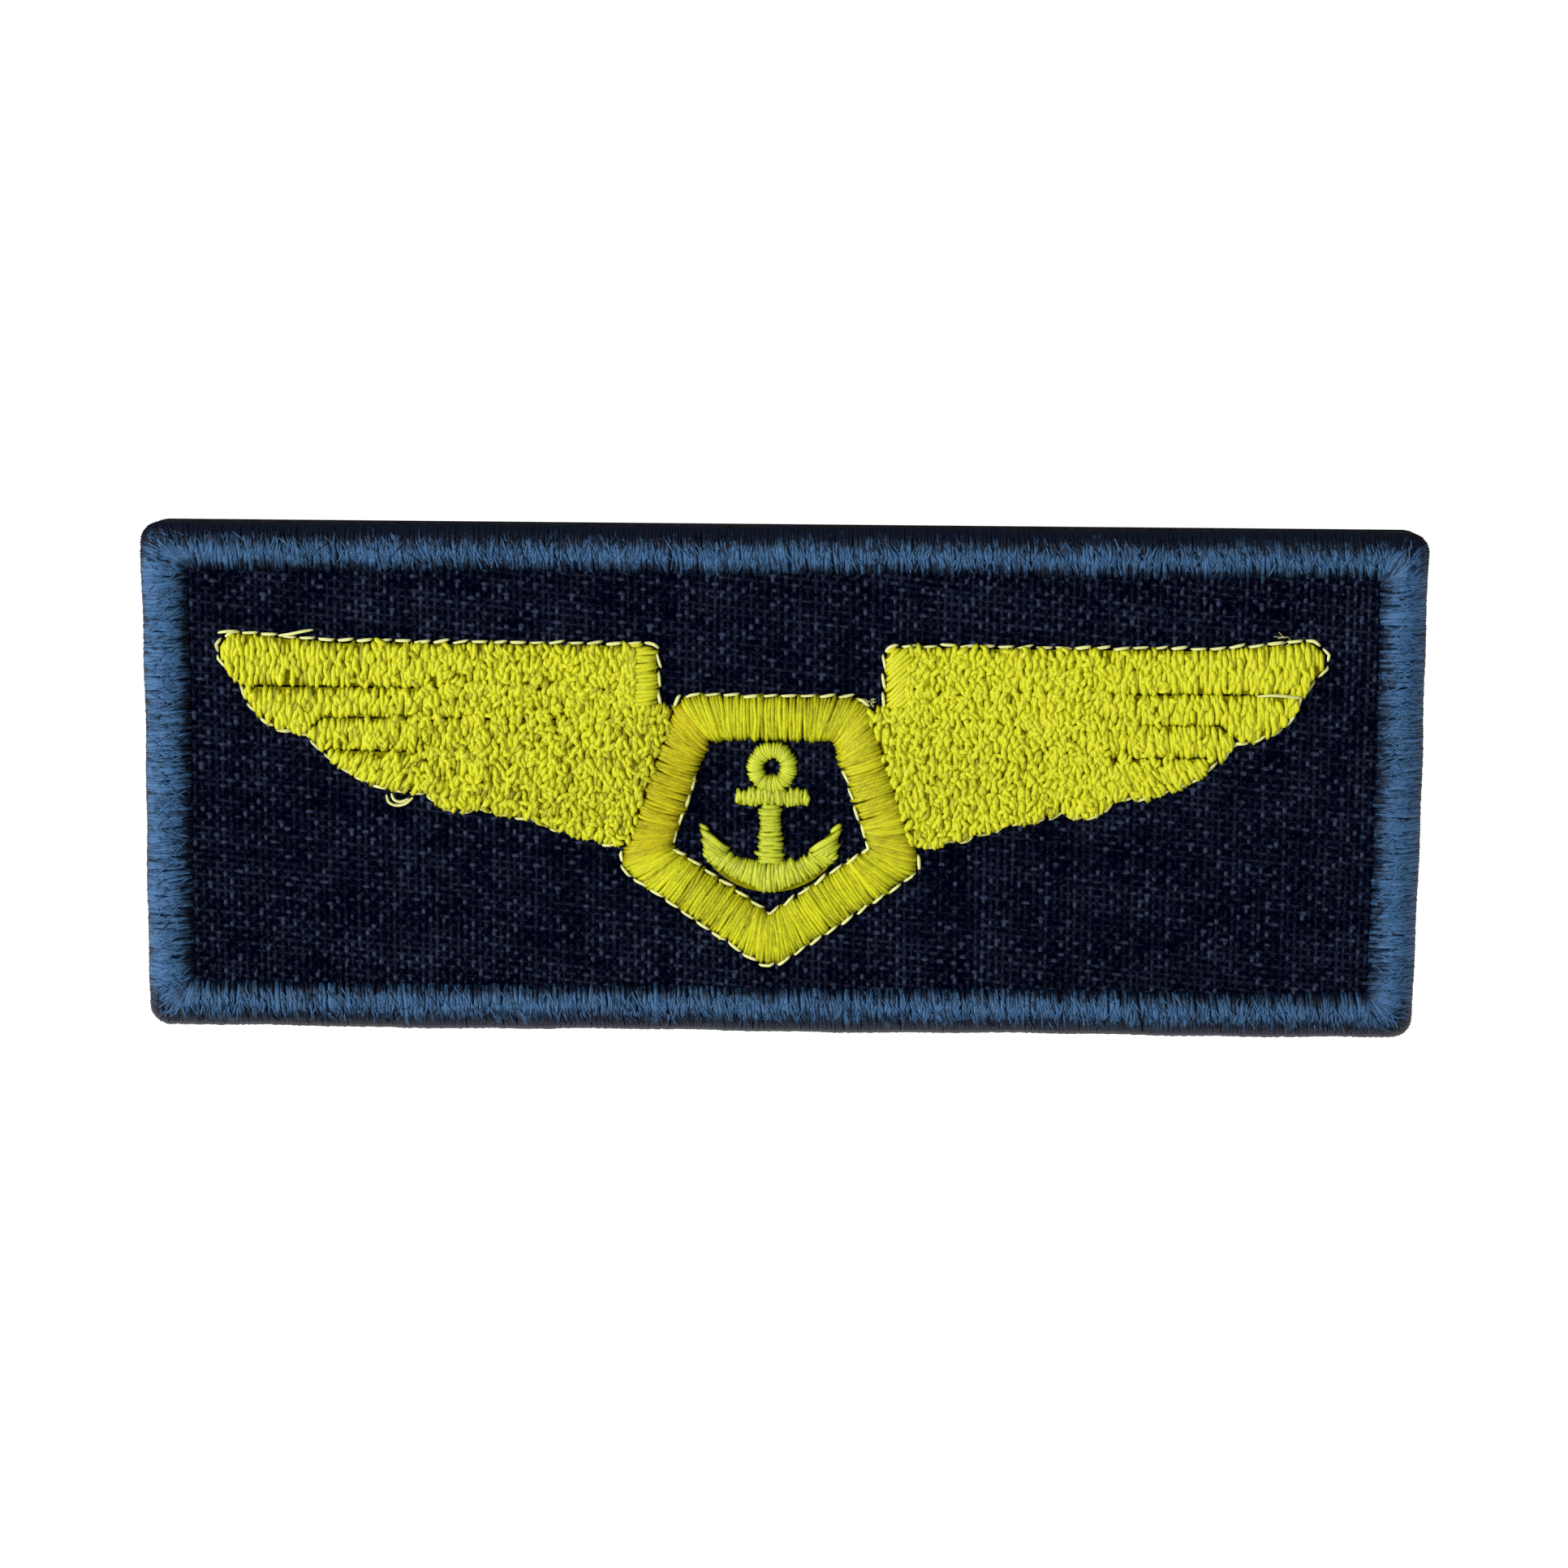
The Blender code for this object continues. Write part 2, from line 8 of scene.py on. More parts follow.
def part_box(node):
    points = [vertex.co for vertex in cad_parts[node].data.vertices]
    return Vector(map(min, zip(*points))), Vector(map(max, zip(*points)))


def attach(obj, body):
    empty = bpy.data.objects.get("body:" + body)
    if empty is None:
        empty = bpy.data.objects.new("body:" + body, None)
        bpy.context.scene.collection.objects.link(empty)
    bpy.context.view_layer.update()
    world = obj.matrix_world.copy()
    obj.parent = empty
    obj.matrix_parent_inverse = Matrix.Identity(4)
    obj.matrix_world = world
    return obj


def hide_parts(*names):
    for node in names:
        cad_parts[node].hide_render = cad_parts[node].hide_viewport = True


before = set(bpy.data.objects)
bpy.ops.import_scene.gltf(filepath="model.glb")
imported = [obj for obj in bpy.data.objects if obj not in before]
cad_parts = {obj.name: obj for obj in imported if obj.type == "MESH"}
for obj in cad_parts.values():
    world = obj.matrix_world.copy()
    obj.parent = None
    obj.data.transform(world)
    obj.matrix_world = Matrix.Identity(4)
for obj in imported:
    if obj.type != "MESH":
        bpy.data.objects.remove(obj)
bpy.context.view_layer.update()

# Embroidered wings patch: every stitch, yarn, hook and loop is built as a thread in the
# space that its CAD solid holds. Threads are laid out flat in millimetres, as (u, v) in
# the plane of the cloth and w out of it, and stand up with u along X, v along Z and w
# along -Y.

MM = 0.001
FACE_W = -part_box("shield_top")[1].y / MM

PATCH_LOW, PATCH_HIGH = (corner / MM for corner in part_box("edge_border"))
HALF_U = (PATCH_HIGH.x - PATCH_LOW.x) / 2
HALF_V = (PATCH_HIGH.z - PATCH_LOW.z) / 2
CORNER_RADIUS = 1.5
BORDER_WIDTH = 3.5
EMBLEM_U = -0.9


# ---------------------------------------------------------------- camera, light and floor

CAMERA_PLACE = (0.0040, -0.3173, 0.0570)
CAMERA_RIGHT = (0.99988, 0.01367, 0.00758)
CAMERA_FORWARD = (-0.01209, 0.98375, -0.17914)
CAMERA_LENS = 93.17
SENSOR_WIDTH = 36.0
FLOOR_Z = -0.075
FLOOR_RADIUS = 6.0
FLOOR_SIDES = 64
# The floor's glow grows from its first strength to its second between these two Y
FLOOR_GLOW_Y = (-0.12, 0.06)
FLOOR_GLOW = (0.18, 0.88)
WORLD_FILL = 0.2
# Lamps: name, place, side in metres, power in watts
LAMPS = (
    ("key", (-0.66, -0.62, 0.2), 0.25, 7.0),
    ("front", (0.15, -0.9, 0.3), 0.7, 1.0),
)


def add_object(name, data):
    made = bpy.data.objects.new(name, data)
    bpy.context.scene.collection.objects.link(made)
    return made


def make_camera():
    data = bpy.data.cameras.new("camera")
    data.lens = CAMERA_LENS
    data.sensor_width = SENSOR_WIDTH
    data.clip_start = 0.01
    camera = add_object("camera", data)
    forward = Vector(CAMERA_FORWARD).normalized()
    right = Vector(CAMERA_RIGHT).normalized()
    up = right.cross(forward).normalized()
    right = forward.cross(up).normalized()
    turn = Matrix((right, up, -forward)).transposed()
    camera.matrix_world = Matrix.Translation(CAMERA_PLACE) @ turn.to_4x4()
    bpy.context.scene.camera = camera


def area_light(name, place, size, power):
    """A square lamp that faces the patch."""
    data = bpy.data.lights.new(name, "AREA")
    data.size = size
    data.energy = power
    light = add_object(name, data)
    light.location = place
    light.rotation_euler = (-Vector(place)).to_track_quat("-Z", "Y").to_euler()


def set_inputs(node, values):
    """Constant values for a node's sockets, by name."""
    for socket, value in values.items():
        node.inputs[socket].default_value = value


def new_material(name, values):
    """A material with these values on its shader, then its nodes, its links and the shader."""
    made = bpy.data.materials.new(name)
    made.use_nodes = True
    nodes = made.node_tree.nodes
    shader = nodes["Principled BSDF"]
    set_inputs(shader, values)
    return made, nodes, made.node_tree.links, shader


def make_world():
    """White behind everything, and a dimmer even fill for what it lights."""
    world = bpy.data.worlds.new("studio")
    world.use_nodes = True
    nodes, links = world.node_tree.nodes, world.node_tree.links
    seen = nodes["Background"]
    set_inputs(seen, {"Color": (1, 1, 1, 1), "Strength": 1.0})
    lit = nodes.new("ShaderNodeBackground")
    set_inputs(lit, {"Color": (0.97, 0.98, 1.0, 1), "Strength": WORLD_FILL})
    path = nodes.new("ShaderNodeLightPath")
    mix = nodes.new("ShaderNodeMixShader")
    links.new(path.outputs["Is Camera Ray"], mix.inputs["Fac"])
    links.new(lit.outputs["Background"], mix.inputs[1])
    links.new(seen.outputs["Background"], mix.inputs[2])
    links.new(mix.outputs["Shader"], nodes["World Output"].inputs["Surface"])
    bpy.context.scene.world = world


def make_floor():
    """A pale floor well below the patch that glows, painted light brightest behind it, like a lit
    backdrop.
    """
    mesh = bpy.data.meshes.new("floor")
    angles = [2 * math.pi * i / FLOOR_SIDES for i in range(FLOOR_SIDES)]
    ring = [(FLOOR_RADIUS * math.cos(a), FLOOR_RADIUS * math.sin(a), FLOOR_Z) for a in angles]
    mesh.from_pydata(ring, [], [list(range(FLOOR_SIDES))])
    made, nodes, links, shader = new_material("floor", {
        "Base Color": (0.9, 0.9, 0.9, 1),
        "Roughness": 0.9,
        "Specular IOR Level": 0.1,
        "Emission Color": (1, 1, 1, 1),
    })
    place = nodes.new("ShaderNodeTexCoord")
    split = nodes.new("ShaderNodeSeparateXYZ")
    glow = nodes.new("ShaderNodeMapRange")
    set_inputs(glow, {
        "From Min": FLOOR_GLOW_Y[0],
        "From Max": FLOOR_GLOW_Y[1],
        "To Min": FLOOR_GLOW[0],
        "To Max": FLOOR_GLOW[1],
    })
    links.new(place.outputs["Object"], split.inputs["Vector"])
    links.new(split.outputs["Y"], glow.inputs["Value"])
    # Painted light: the floor glows, more towards +Y behind the patch
    links.new(glow.outputs["Result"], shader.inputs["Emission Strength"])
    mesh.materials.append(made)
    add_object("floor", mesh)


# ---------------------------------------------------------------------------- materials


def noise_texture(nodes, links, place, scale, detail):
    noise = nodes.new("ShaderNodeTexNoise")
    set_inputs(noise, {"Scale": scale, "Detail": detail})
    links.new(place, noise.inputs["Vector"])
    return noise.outputs["Fac"]


def multiply_add(nodes, links, value, factor, added):
    node = nodes.new("ShaderNodeMath")
    node.operation = "MULTIPLY_ADD"
    node.inputs[1].default_value = factor
    links.new(value, node.inputs[0])
    links.new(added, node.inputs[2])
    return node.outputs["Value"]


def colour_and_bump(nodes, links, shader, tone, stops, height, strength, distance):
    """Colour from tone by a ramp with two (position, colour) stops, and bumps from height."""
    ramp = nodes.new("ShaderNodeValToRGB")
    for element, (position, colour) in zip(ramp.color_ramp.elements, stops):
        element.position = position
        element.color = (*colour, 1)
    links.new(tone, ramp.inputs["Fac"])
    links.new(ramp.outputs["Color"], shader.inputs["Base Color"])
    bump = nodes.new("ShaderNodeBump")
    set_inputs(bump, {"Strength": strength, "Distance": distance})
    links.new(height, bump.inputs["Height"])
    links.new(bump.outputs["Normal"], shader.inputs["Normal"])


def thread_material(name, dark, light, roughness, sheen, specular=0.35, fibre=1.0,
                    mottle=0.35, mottle_scale=260.0):
    """Polyester thread: filaments twisted along it, and a tint that changes by the strand.

    dark and light are linear colours for the low and the high end of the strand's tint.
    """
    made, nodes, links, shader = new_material(name, {
        "Roughness": roughness,
        "Sheen Weight": sheen,
        "Sheen Roughness": 0.4,
        "Specular IOR Level": specular,
    })
    tint = nodes.new("ShaderNodeAttribute")
    tint.attribute_name = "tint"
    strand = nodes.new("ShaderNodeAttribute")
    strand.attribute_name = "strand"
    place = nodes.new("ShaderNodeTexCoord")
    filaments = noise_texture(nodes, links, strand.outputs["Vector"], 1.0, 2.0)
    patches = noise_texture(nodes, links, place.outputs["Object"], mottle_scale, 2.0)
    tone = multiply_add(nodes, links, filaments, 0.75, tint.outputs["Fac"])
    tone = multiply_add(nodes, links, patches, mottle, tone)
    stops = ((0.4, dark), (1.0, light))
    colour_and_bump(nodes, links, shader, tone, stops, filaments, 0.8 * fibre, 0.00008)
    return made


def cloth_material(name, dark, light, scale):
    """Plain matte cloth or felt for what lies under the threads."""
    values = {"Roughness": 0.9, "Specular IOR Level": 0.05}
    made, nodes, links, shader = new_material(name, values)
    place = nodes.new("ShaderNodeTexCoord")
    mottle = noise_texture(nodes, links, place.outputs["Object"], scale, 4.0)
    stops = ((0.3, dark), (0.7, light))
    colour_and_bump(nodes, links, shader, mottle, stops, mottle, 0.5, 0.0001)
    return made


# ------------------------------------------------------------------------- thread meshes

# Where a strand lies in its filaments' noise: how far round it reaches, its length per mm
# and the gap to the next strand
STRAND_RADIUS = 2.2
STRAND_STRETCH = 1.2
STRAND_GAP = 17.0


def upright(points):
    """(u, v, w) in millimetres to the row frame in metres."""
    points = np.asarray(points, float)
    return np.stack([points[..., 0], -points[..., 2], points[..., 1]], -1) * MM


def unit(runs):
    """Runs of any length as ways of length 1; the small term keeps a run of 0 at 0."""
    return runs / (np.linalg.norm(runs, axis=-1, keepdims=True) + 1e-12)


def left_of(ways):
    """Flat ways, each a quarter turn to the left of a given one."""
    return np.stack([-ways[..., 1], ways[..., 0]], -1)


def ways_at(angles):
    """Flat ways of length 1 at the given angles."""
    return np.stack([np.cos(angles), np.sin(angles)], -1)


def shifted(flat, ways, aside):
    """Strands moved along a way that each strand has, by an amount that each point has."""
    return flat + ways[:, None, :] * aside[..., None]


def raised(flat, height):
    """(u, v, w) points from flat ones and the height of each."""
    return np.concatenate([flat, height[..., None]], -1)


def threads(name, paths, half_width, half_height, tint, sides, twist, across=None):
    """One mesh of closed thread tubes.

    paths is (strands, points, 3); half_width and half_height are (strands, points) and
    give an oval section, its height along w where the thread lies flat. twist is how fast
    the filaments turn round the thread, in radians per mm. across is each strand's own
    sideways direction, for strands that turn back on themselves.
    """
    paths = np.asarray(paths, float)
    count, length = paths.shape[:2]
    half_width = np.broadcast_to(half_width, (count, length))
    half_height = np.broadcast_to(half_height, (count, length))
    along = unit(np.gradient(paths, axis=1))
    if across is None:
        side = unit(np.cross(np.broadcast_to([0.0, 0.0, 1.0], along.shape), along))
    else:
        side = np.broadcast_to(across[:, None, :], along.shape)
    over = unit(np.cross(along, side))
    angle = 2 * math.pi * np.arange(sides) / sides
    ring = (
        side[:, :, None, :] * (half_width[..., None] * np.cos(angle))[..., None]
        + over[:, :, None, :] * (half_height[..., None] * np.sin(angle))[..., None]
    )
    points = (paths[:, :, None, :] + ring).reshape(-1, 3)

    k = np.arange(sides)
    near = (np.arange(length - 1)[:, None] * sides + k).ravel()
    near_next = (np.arange(length - 1)[:, None] * sides + (k + 1) % sides).ravel()
    quads = np.stack([near, near_next, near_next + sides, near + sides], -1)
    start = np.arange(count) * length * sides
    quads = (start[:, None, None] + quads).reshape(-1)
    first = (start[:, None] + k[::-1]).reshape(-1)
    last = (start[:, None] + (length - 1) * sides + k).reshape(-1)
    loops = np.concatenate([quads, first, last]).astype(np.int32)
    quad_total = len(quads) // 4
    starts = np.concatenate(
        [np.arange(quad_total) * 4, len(quads) + np.arange(2 * count) * sides]
    ).astype(np.int32)

    mesh = bpy.data.meshes.new(name)
    mesh.vertices.add(len(points))
    mesh.loops.add(len(loops))
    mesh.polygons.add(len(starts))
    mesh.vertices.foreach_set("co", upright(points).astype(np.float32).ravel())
    mesh.loops.foreach_set("vertex_index", loops)
    mesh.polygons.foreach_set("loop_start", starts)
    mesh.update(calc_edges=True)
    mesh.shade_smooth()

    tint = np.broadcast_to(np.reshape(tint, (count, -1)), (count, length))
    tints = mesh.attributes.new("tint", "FLOAT", "POINT")
    tints.data.foreach_set("value", np.repeat(tint, sides, axis=1).astype(np.float32).ravel())
    steps = np.linalg.norm(np.diff(paths, axis=1), axis=-1)
    travelled = np.concatenate([np.zeros((count, 1)), np.cumsum(steps, axis=1)], axis=1)
    place = np.zeros((count, length, sides, 3))
    turn = angle[None, None, :] + twist * travelled[..., None]
    place[..., 0] = STRAND_RADIUS * np.cos(turn)
    place[..., 1] = STRAND_RADIUS * np.sin(turn)
    number = np.arange(count)[:, None, None]
    place[..., 2] = travelled[..., None] * STRAND_STRETCH + STRAND_GAP * number
    strand = mesh.attributes.new("strand", "FLOAT_VECTOR", "POINT")
    strand.data.foreach_set("vector", place.astype(np.float32).ravel())
    return add_object(name, mesh)


def finish_piece(piece, material, body, replaced=()):
    """Give a piece its material and body, and hide the CAD nodes that it stands for."""
    piece.data.materials.append(material)
    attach(piece, body)
    if replaced:
        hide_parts(*replaced)
    return piece


def prism_mesh(name, outline, low, high):
    """A closed slab with the given outline, in millimetres."""
    count = len(outline)
    bottom = [(x, y, low) for x, y in outline]
    top = [(x, y, high) for x, y in outline]
    faces = [list(range(count))[::-1], list(range(count, 2 * count))]
    faces += [[i, (i + 1) % count, count + (i + 1) % count, count + i] for i in range(count)]
    mesh = bpy.data.meshes.new(name)
    mesh.from_pydata(upright(bottom + top).tolist(), [], faces)
    return add_object(name, mesh)


def rounded_outline(half_u, half_v, corner, steps=5):
    """The outline of a rectangle with rounded corners, of so many points each."""
    outline = []
    for cu, cv, start in ((1, 1, 0), (-1, 1, 1), (-1, -1, 2), (1, -1, 3)):
        for i in range(steps):
            angle = math.pi / 2 * (start + i / (steps - 1))
            outline.append((cu * (half_u - corner) + corner * math.cos(angle),
                            cv * (half_v - corner) + corner * math.sin(angle)))
    return outline


def layer(node):
    """Half its length, half its height and its two levels of w, of a flat CAD node."""
    low, high = (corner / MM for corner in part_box(node))
    return (high.x - low.x) / 2, (high.z - low.z) / 2, -high.y, -low.y


# ------------------------------------------------------------------- outlines of the CAD


def outline_of(node):
    """The (u, v) outline, anticlockwise in millimetres, of a node's face on the cloth."""
    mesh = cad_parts[node].data
    spots = {}
    numbers = []
    for vert in mesh.vertices:
        key = tuple(round(c / MM, 3) for c in vert.co)
        numbers.append(spots.setdefault(key, len(spots)))
    places = list(spots)
    base = max(place[1] for place in places)
    # A dict, not a set, so that the edges keep their order
    edges = {}
    for polygon in mesh.polygons:
        corners = [numbers[i] for i in polygon.vertices]
        if any(abs(places[c][1] - base) > 0.002 for c in corners):
            continue
        for a, b in zip(corners, corners[1:] + corners[:1]):
            edges[(a, b)] = True
    open_edges = {a: b for a, b in edges if (b, a) not in edges}
    start = next(iter(open_edges))
    loop, at = [start], open_edges[start]
    while at != start:
        loop.append(at)
        at = open_edges[at]
    outline = [(places[i][0], places[i][2]) for i in loop]
    turned = sum(
        a[0] * b[1] - b[0] * a[1] for a, b in zip(outline, outline[1:] + outline[:1])
    )
    return np.array(outline if turned > 0 else outline[::-1])


def centre_line(node):
    """The middle of a strip node, from the outline that runs up one side and down the other."""
    outline = outline_of(node)
    count = len(outline) // 2
    best, found = None, None
    for turn in range(len(outline)):
        turned = np.roll(outline, -turn, axis=0)
        left, right = turned[:count], turned[::-1][:count]
        width = np.linalg.norm(left - right, axis=1)
        if best is None or width.max() < best:
            best, found = width.max(), (left + right) / 2
    return found


def rotated(points, angle):
    """Flat points turned anticlockwise about the origin."""
    c, s = math.cos(angle), math.sin(angle)
    return np.asarray(points) @ np.array([[c, s], [-s, c]])


def scan(outline, angle, pitch, phase):
    """Lines across an outline: (start, end) pairs that run along angle, pitch apart."""
    turned = rotated(outline, math.pi / 2 - angle)
    ends = np.roll(turned, -1, axis=0)
    found = []
    at = turned[:, 0].min() + pitch * phase
    while at < turned[:, 0].max():
        crossing = (turned[:, 0] - at) * (ends[:, 0] - at) < 0
        a, b = turned[crossing], ends[crossing]
        heights = np.sort(a[:, 1] + (b[:, 1] - a[:, 1]) * (at - a[:, 0]) / (b[:, 0] - a[:, 0]))
        for low, high in zip(heights[::2], heights[1::2]):
            found.append(((at, low), (at, high)))
        at += pitch
    return rotated(np.array(found).reshape(-1, 2), angle - math.pi / 2).reshape(-1, 2, 2)


def inside(points, outline):
    """Which points lie inside an outline."""
    x, y = points[:, 0], points[:, 1]
    result = np.zeros(len(points), bool)
    for a, b in zip(outline, np.roll(outline, -1, axis=0)):
        crosses = (a[1] > y) != (b[1] > y)
        reach = (b[0] - a[0]) * (y - a[1]) / (b[1] - a[1] + 1e-12) + a[0]
        result ^= crosses & (x < reach)
    return result


def distances(path):
    """How far along a polyline each of its points is."""
    return np.concatenate([[0], np.cumsum(np.linalg.norm(np.diff(path, axis=0), axis=1))])


def points_at(path, at):
    """The points of a polyline at the given distances along it."""
    travelled = distances(path)
    return np.stack([np.interp(at, travelled, places) for places in path.T], -1)


def curve_through(points, count):
    """Evenly spaced points on a smooth curve through a few given ones."""
    points = np.array(points, float)
    padded = np.concatenate([[2 * points[0] - points[1]], points, [2 * points[-1] - points[-2]]])
    fine = []
    for i in range(1, len(padded) - 2):
        p0, p1, p2, p3 = padded[i - 1 : i + 3]
        for t in np.linspace(0, 1, 8, endpoint=False):
            fine.append(
                0.5 * (2 * p1 + (p2 - p0) * t + (2 * p0 - 5 * p1 + 4 * p2 - p3) * t**2
                + (3 * p1 - p0 - 3 * p2 + p3) * t**3)
            )
    fine.append(points[-1])
    fine = np.array(fine)
    return points_at(fine, np.linspace(0, distances(fine)[-1], count))


def resampled(path, spacing):
    """Points along a polyline at an even spacing."""
    return points_at(path, np.arange(0, distances(path)[-1], spacing))


# ------------------------------------------------------------------------------ stitches

FEATHER_POINTS = 8
# Nubs lie over the rows of a wing out to about this far from the emblem's middle
NUB_LIMIT = 29.0
# What is higher than this belongs to the straight edge along the wing's top
TOP_EDGE_V = 9.0
# Outline points closer to the wing's running stitches than this lie at the wing's edge
RIM_GAP = 0.75
# How each layer of a wing's stitches lies: lowest and highest start over the cloth, rise,
# half thickness, shift of tint, sway, and the power that makes its arch blunt
STITCH_LAYERS = {
    "lower": (0.08, 0.14, 0.2, 0.2, -0.1, 0.06, 3.0),
    "upper": (0.2, 0.27, 0.2, 0.2, 0.02, 0.06, 3.0),
    "beads": (0.2, 0.32, 0.22, 0.22, 0.02, 0.08, 2.4),
    "nubs": (0.19, 0.33, 0.22, 0.22, -0.02, 0.08, 2.2),
    "few": (0.28, 0.42, 0.2, 0.2, 0.05, 0.1, 2.2),
    "bridges": (0.26, 0.38, 0.22, 0.21, 0.03, 0.09, 2.2),
}


def arch(count, power):
    """How high a stitch stands along its length, from 0 at its ends to 1 in the middle."""
    t = np.linspace(0, 1, count)
    return (1 - np.abs(2 * t - 1) ** power) ** 0.5


def stitch_paths(pairs, base, rise, rng, points, power, sway, dive=0.12):
    """Arched paths from each pair's start to its end, swaying a little sideways."""
    count = len(pairs)
    t = np.linspace(0, 1, points)
    run = pairs[:, 1] - pairs[:, 0]
    flat = pairs[:, 0, None, :] + run[:, None, :] * t[None, :, None]
    phase = rng.uniform(0, 2 * math.pi, (count, 1))
    waves = rng.uniform(0.5, 1.3, (count, 1))
    reach = rng.uniform(0.2, 1.0, (count, 1)) * sway
    bend = np.sin(2 * math.pi * waves * t[None, :] + phase) * reach
    flat = shifted(flat, left_of(unit(run)), bend)
    base = np.broadcast_to(base, (count,))
    rise = np.broadcast_to(rise, (count,))
    height = base[:, None] - dive + (rise + dive)[:, None] * arch(points, power)[None, :]
    return raised(flat, height)


def taper(points, thin):
    """A stitch's thickness along it, from thin at its ends to 1 in the middle."""
    t = np.linspace(0, 1, points)
    return thin + (1 - thin) * np.sin(math.pi * t) ** 0.5


def split_runs(lines, length, rng, overlap=0.12):
    """Long lines cut into stitches of about the given length, bricked from line to line."""
    made = []
    for start, end in lines:
        total = float(np.hypot(*(end - start)))
        if total < 0.25:
            continue
        way = (end - start) / total
        at = -length * rng.uniform(0.0, 0.9)
        while at < total:
            low, high = max(0.0, at), min(total, at + length * rng.uniform(0.8, 1.25))
            if high - low > 0.35:
                made.append((start + way * (low - overlap), start + way * (high + overlap)))
            at = max(high, at + 0.2)
    return np.array(made)


def jittered(pairs, rng, along, across):
    """Stitches with their ends moved a little, along them and sideways."""
    pairs = pairs.copy()
    way = unit(pairs[:, 1] - pairs[:, 0])
    count = len(pairs)
    for end in (0, 1):
        pairs[:, end] += way * rng.normal(0, along, (count, 1))
        pairs[:, end] += left_of(way) * rng.normal(0, across, (count, 1))
    return pairs


def merged(name, groups):
    """One mesh from several groups of (paths, half width, half height, tint)."""
    return threads(name, *(np.concatenate(parts) for parts in zip(*groups)), 6, 3.0)


def strand_tint(count, points, rng, middle, spread=0.16, ends=0.25):
    """A tint for each strand, with painted shade that darkens it towards the ends where it dives
    into the cloth.
    """
    base = rng.normal(middle, spread, (count, 1))
    t = np.linspace(0, 1, points)[None, :]
    # Painted shade towards both ends of the strand
    return base - ends * (1 - np.sin(math.pi * t) ** 0.6)


def widened(outline, distance):
    """An outline moved outwards by a small distance, with mitred corners."""
    before = outline - np.roll(outline, 1, axis=0)
    after = np.roll(before, -1, axis=0)
    middle = -left_of(unit(before)) - left_of(unit(after))
    share = np.clip((middle * middle).sum(axis=1, keepdims=True), 0.8, None)
    return outline + 2 * distance * middle / share


def filled_to_rim(outline, rim, near, far):
    """A field's outline moved out by near at the wing's edge, and by far elsewhere."""
    outline = resampled(np.concatenate([outline, outline[:1]]), 0.5)
    gap = np.linalg.norm(outline[:, None, :] - rim[None, :, :], axis=-1).min(axis=1)
    at_rim = (gap < RIM_GAP) & (outline[:, 1] < TOP_EDGE_V)
    return widened(outline, np.where(at_rim, near, far)[:, None])


def within(pairs, outline, share):
    """Which stitches have both ends, drawn in to the given share of their length, inside."""
    middle = pairs.mean(axis=1)
    ends = [inside(pairs[:, end] * share + middle * (1 - share), outline) for end in (0, 1)]
    return ends[0] & ends[1]


def turned_about_middle(pairs, angles):
    """Each stitch turned anticlockwise about its own middle."""
    middle = pairs.mean(axis=1, keepdims=True)
    out = pairs - middle
    c, s = np.cos(angles)[:, None], np.sin(angles)[:, None]
    turned = [out[..., 0] * c - out[..., 1] * s, out[..., 0] * s + out[..., 1] * c]
    return middle + np.stack(turned, -1)


def stitch_group(kind, pairs, tone, rng):
    """One layer of a wing's stitches, as a group for merged()."""
    low, high, rise, half, shift, sway, power = STITCH_LAYERS[kind]
    count, points = len(pairs), FEATHER_POINTS
    base = FACE_W + rng.uniform(low, high, count)
    rises = rise * rng.uniform(0.8, 1.2, count)
    paths = stitch_paths(pairs, base, rises, rng, points, power, sway)
    thick = half * rng.uniform(0.85, 1.12, (count, 1)) * taper(points, 0.62)[None, :]
    return paths, thick, thick * 0.92, strand_tint(count, points, rng, tone + shift, 0.13, 0.34)


def row_stitches(outline, angle, pitch, length, rng, lean):
    """Close parallel stitches in bricked rows."""
    pairs = split_runs(scan(outline, angle, pitch, rng.uniform(0.2, 0.8)), length, rng)
    pairs = turned_about_middle(pairs, rng.normal(0, lean, len(pairs)))
    pairs = jittered(pairs, rng, 0.1, 0.04)
    return pairs[within(pairs, outline, 0.65)]


def nub_stitches(outline, rng, step=0.54, spread=0.6, reach=(0.32, 0.52)):
    """Short fat stitches that lie every way, though more often upright."""
    low, high = outline.min(axis=0), outline.max(axis=0)
    across, up = np.arange(low[0], high[0], step), np.arange(low[1], high[1], step * 1.25)
    u, v = np.meshgrid(across, up)
    spots = np.stack([u.ravel(), v.ravel()], -1) + rng.normal(0, step * 0.28, (u.size, 2))
    lean = math.pi / 2 + rng.normal(0, spread, len(spots))
    way = ways_at(lean) * rng.uniform(*reach, (len(spots), 1))
    pairs = np.stack([spots - way, spots + way], 1)
    return pairs[within(pairs, outline, 0.75)]


# Lines between fields, near the wing's root, that stitches run over: (from, to), both
# measured from the middle of the emblem
BRIDGED = (
    ((11.3, 7.3), (27.0, 7.3)),
    ((11.0, 4.9), (28.5, 4.9)),
    ((23.0, 2.2), (28.5, 2.2)),
    ((22.9, -1.7), (22.9, 4.7)),
    ((27.0, -0.6), (27.0, 2.0)),
    ((11.2, 5.2), (11.2, 10.6)),
    ((10.8, 5.2), (10.8, 10.6)),
    ((11.6, 5.2), (11.6, 10.6)),
    ((8.9, 5.85), (11.2, 5.85)),
)


def bridge_stitches(mirror, rng, step=0.3):
    """Short stitches laid across the joins between a wing's inner fields."""
    pairs = []
    for start, end in BRIDGED:
        start, end = np.array(start), np.array(end)
        count = round(np.linalg.norm(end - start) / step)
        spots = start + (end - start) * rng.uniform(0, 1, (count, 1))
        spots = (spots + rng.normal(0, 0.12, (count, 2))) * (mirror, 1) + (EMBLEM_U, 0)
        lean = math.pi / 2 + rng.normal(0, 0.6, count)
        way = ways_at(lean) * rng.uniform(0.34, 0.52, (count, 1))
        pairs.append(np.stack([spots - way, spots + way], 1))
    return np.concatenate(pairs)


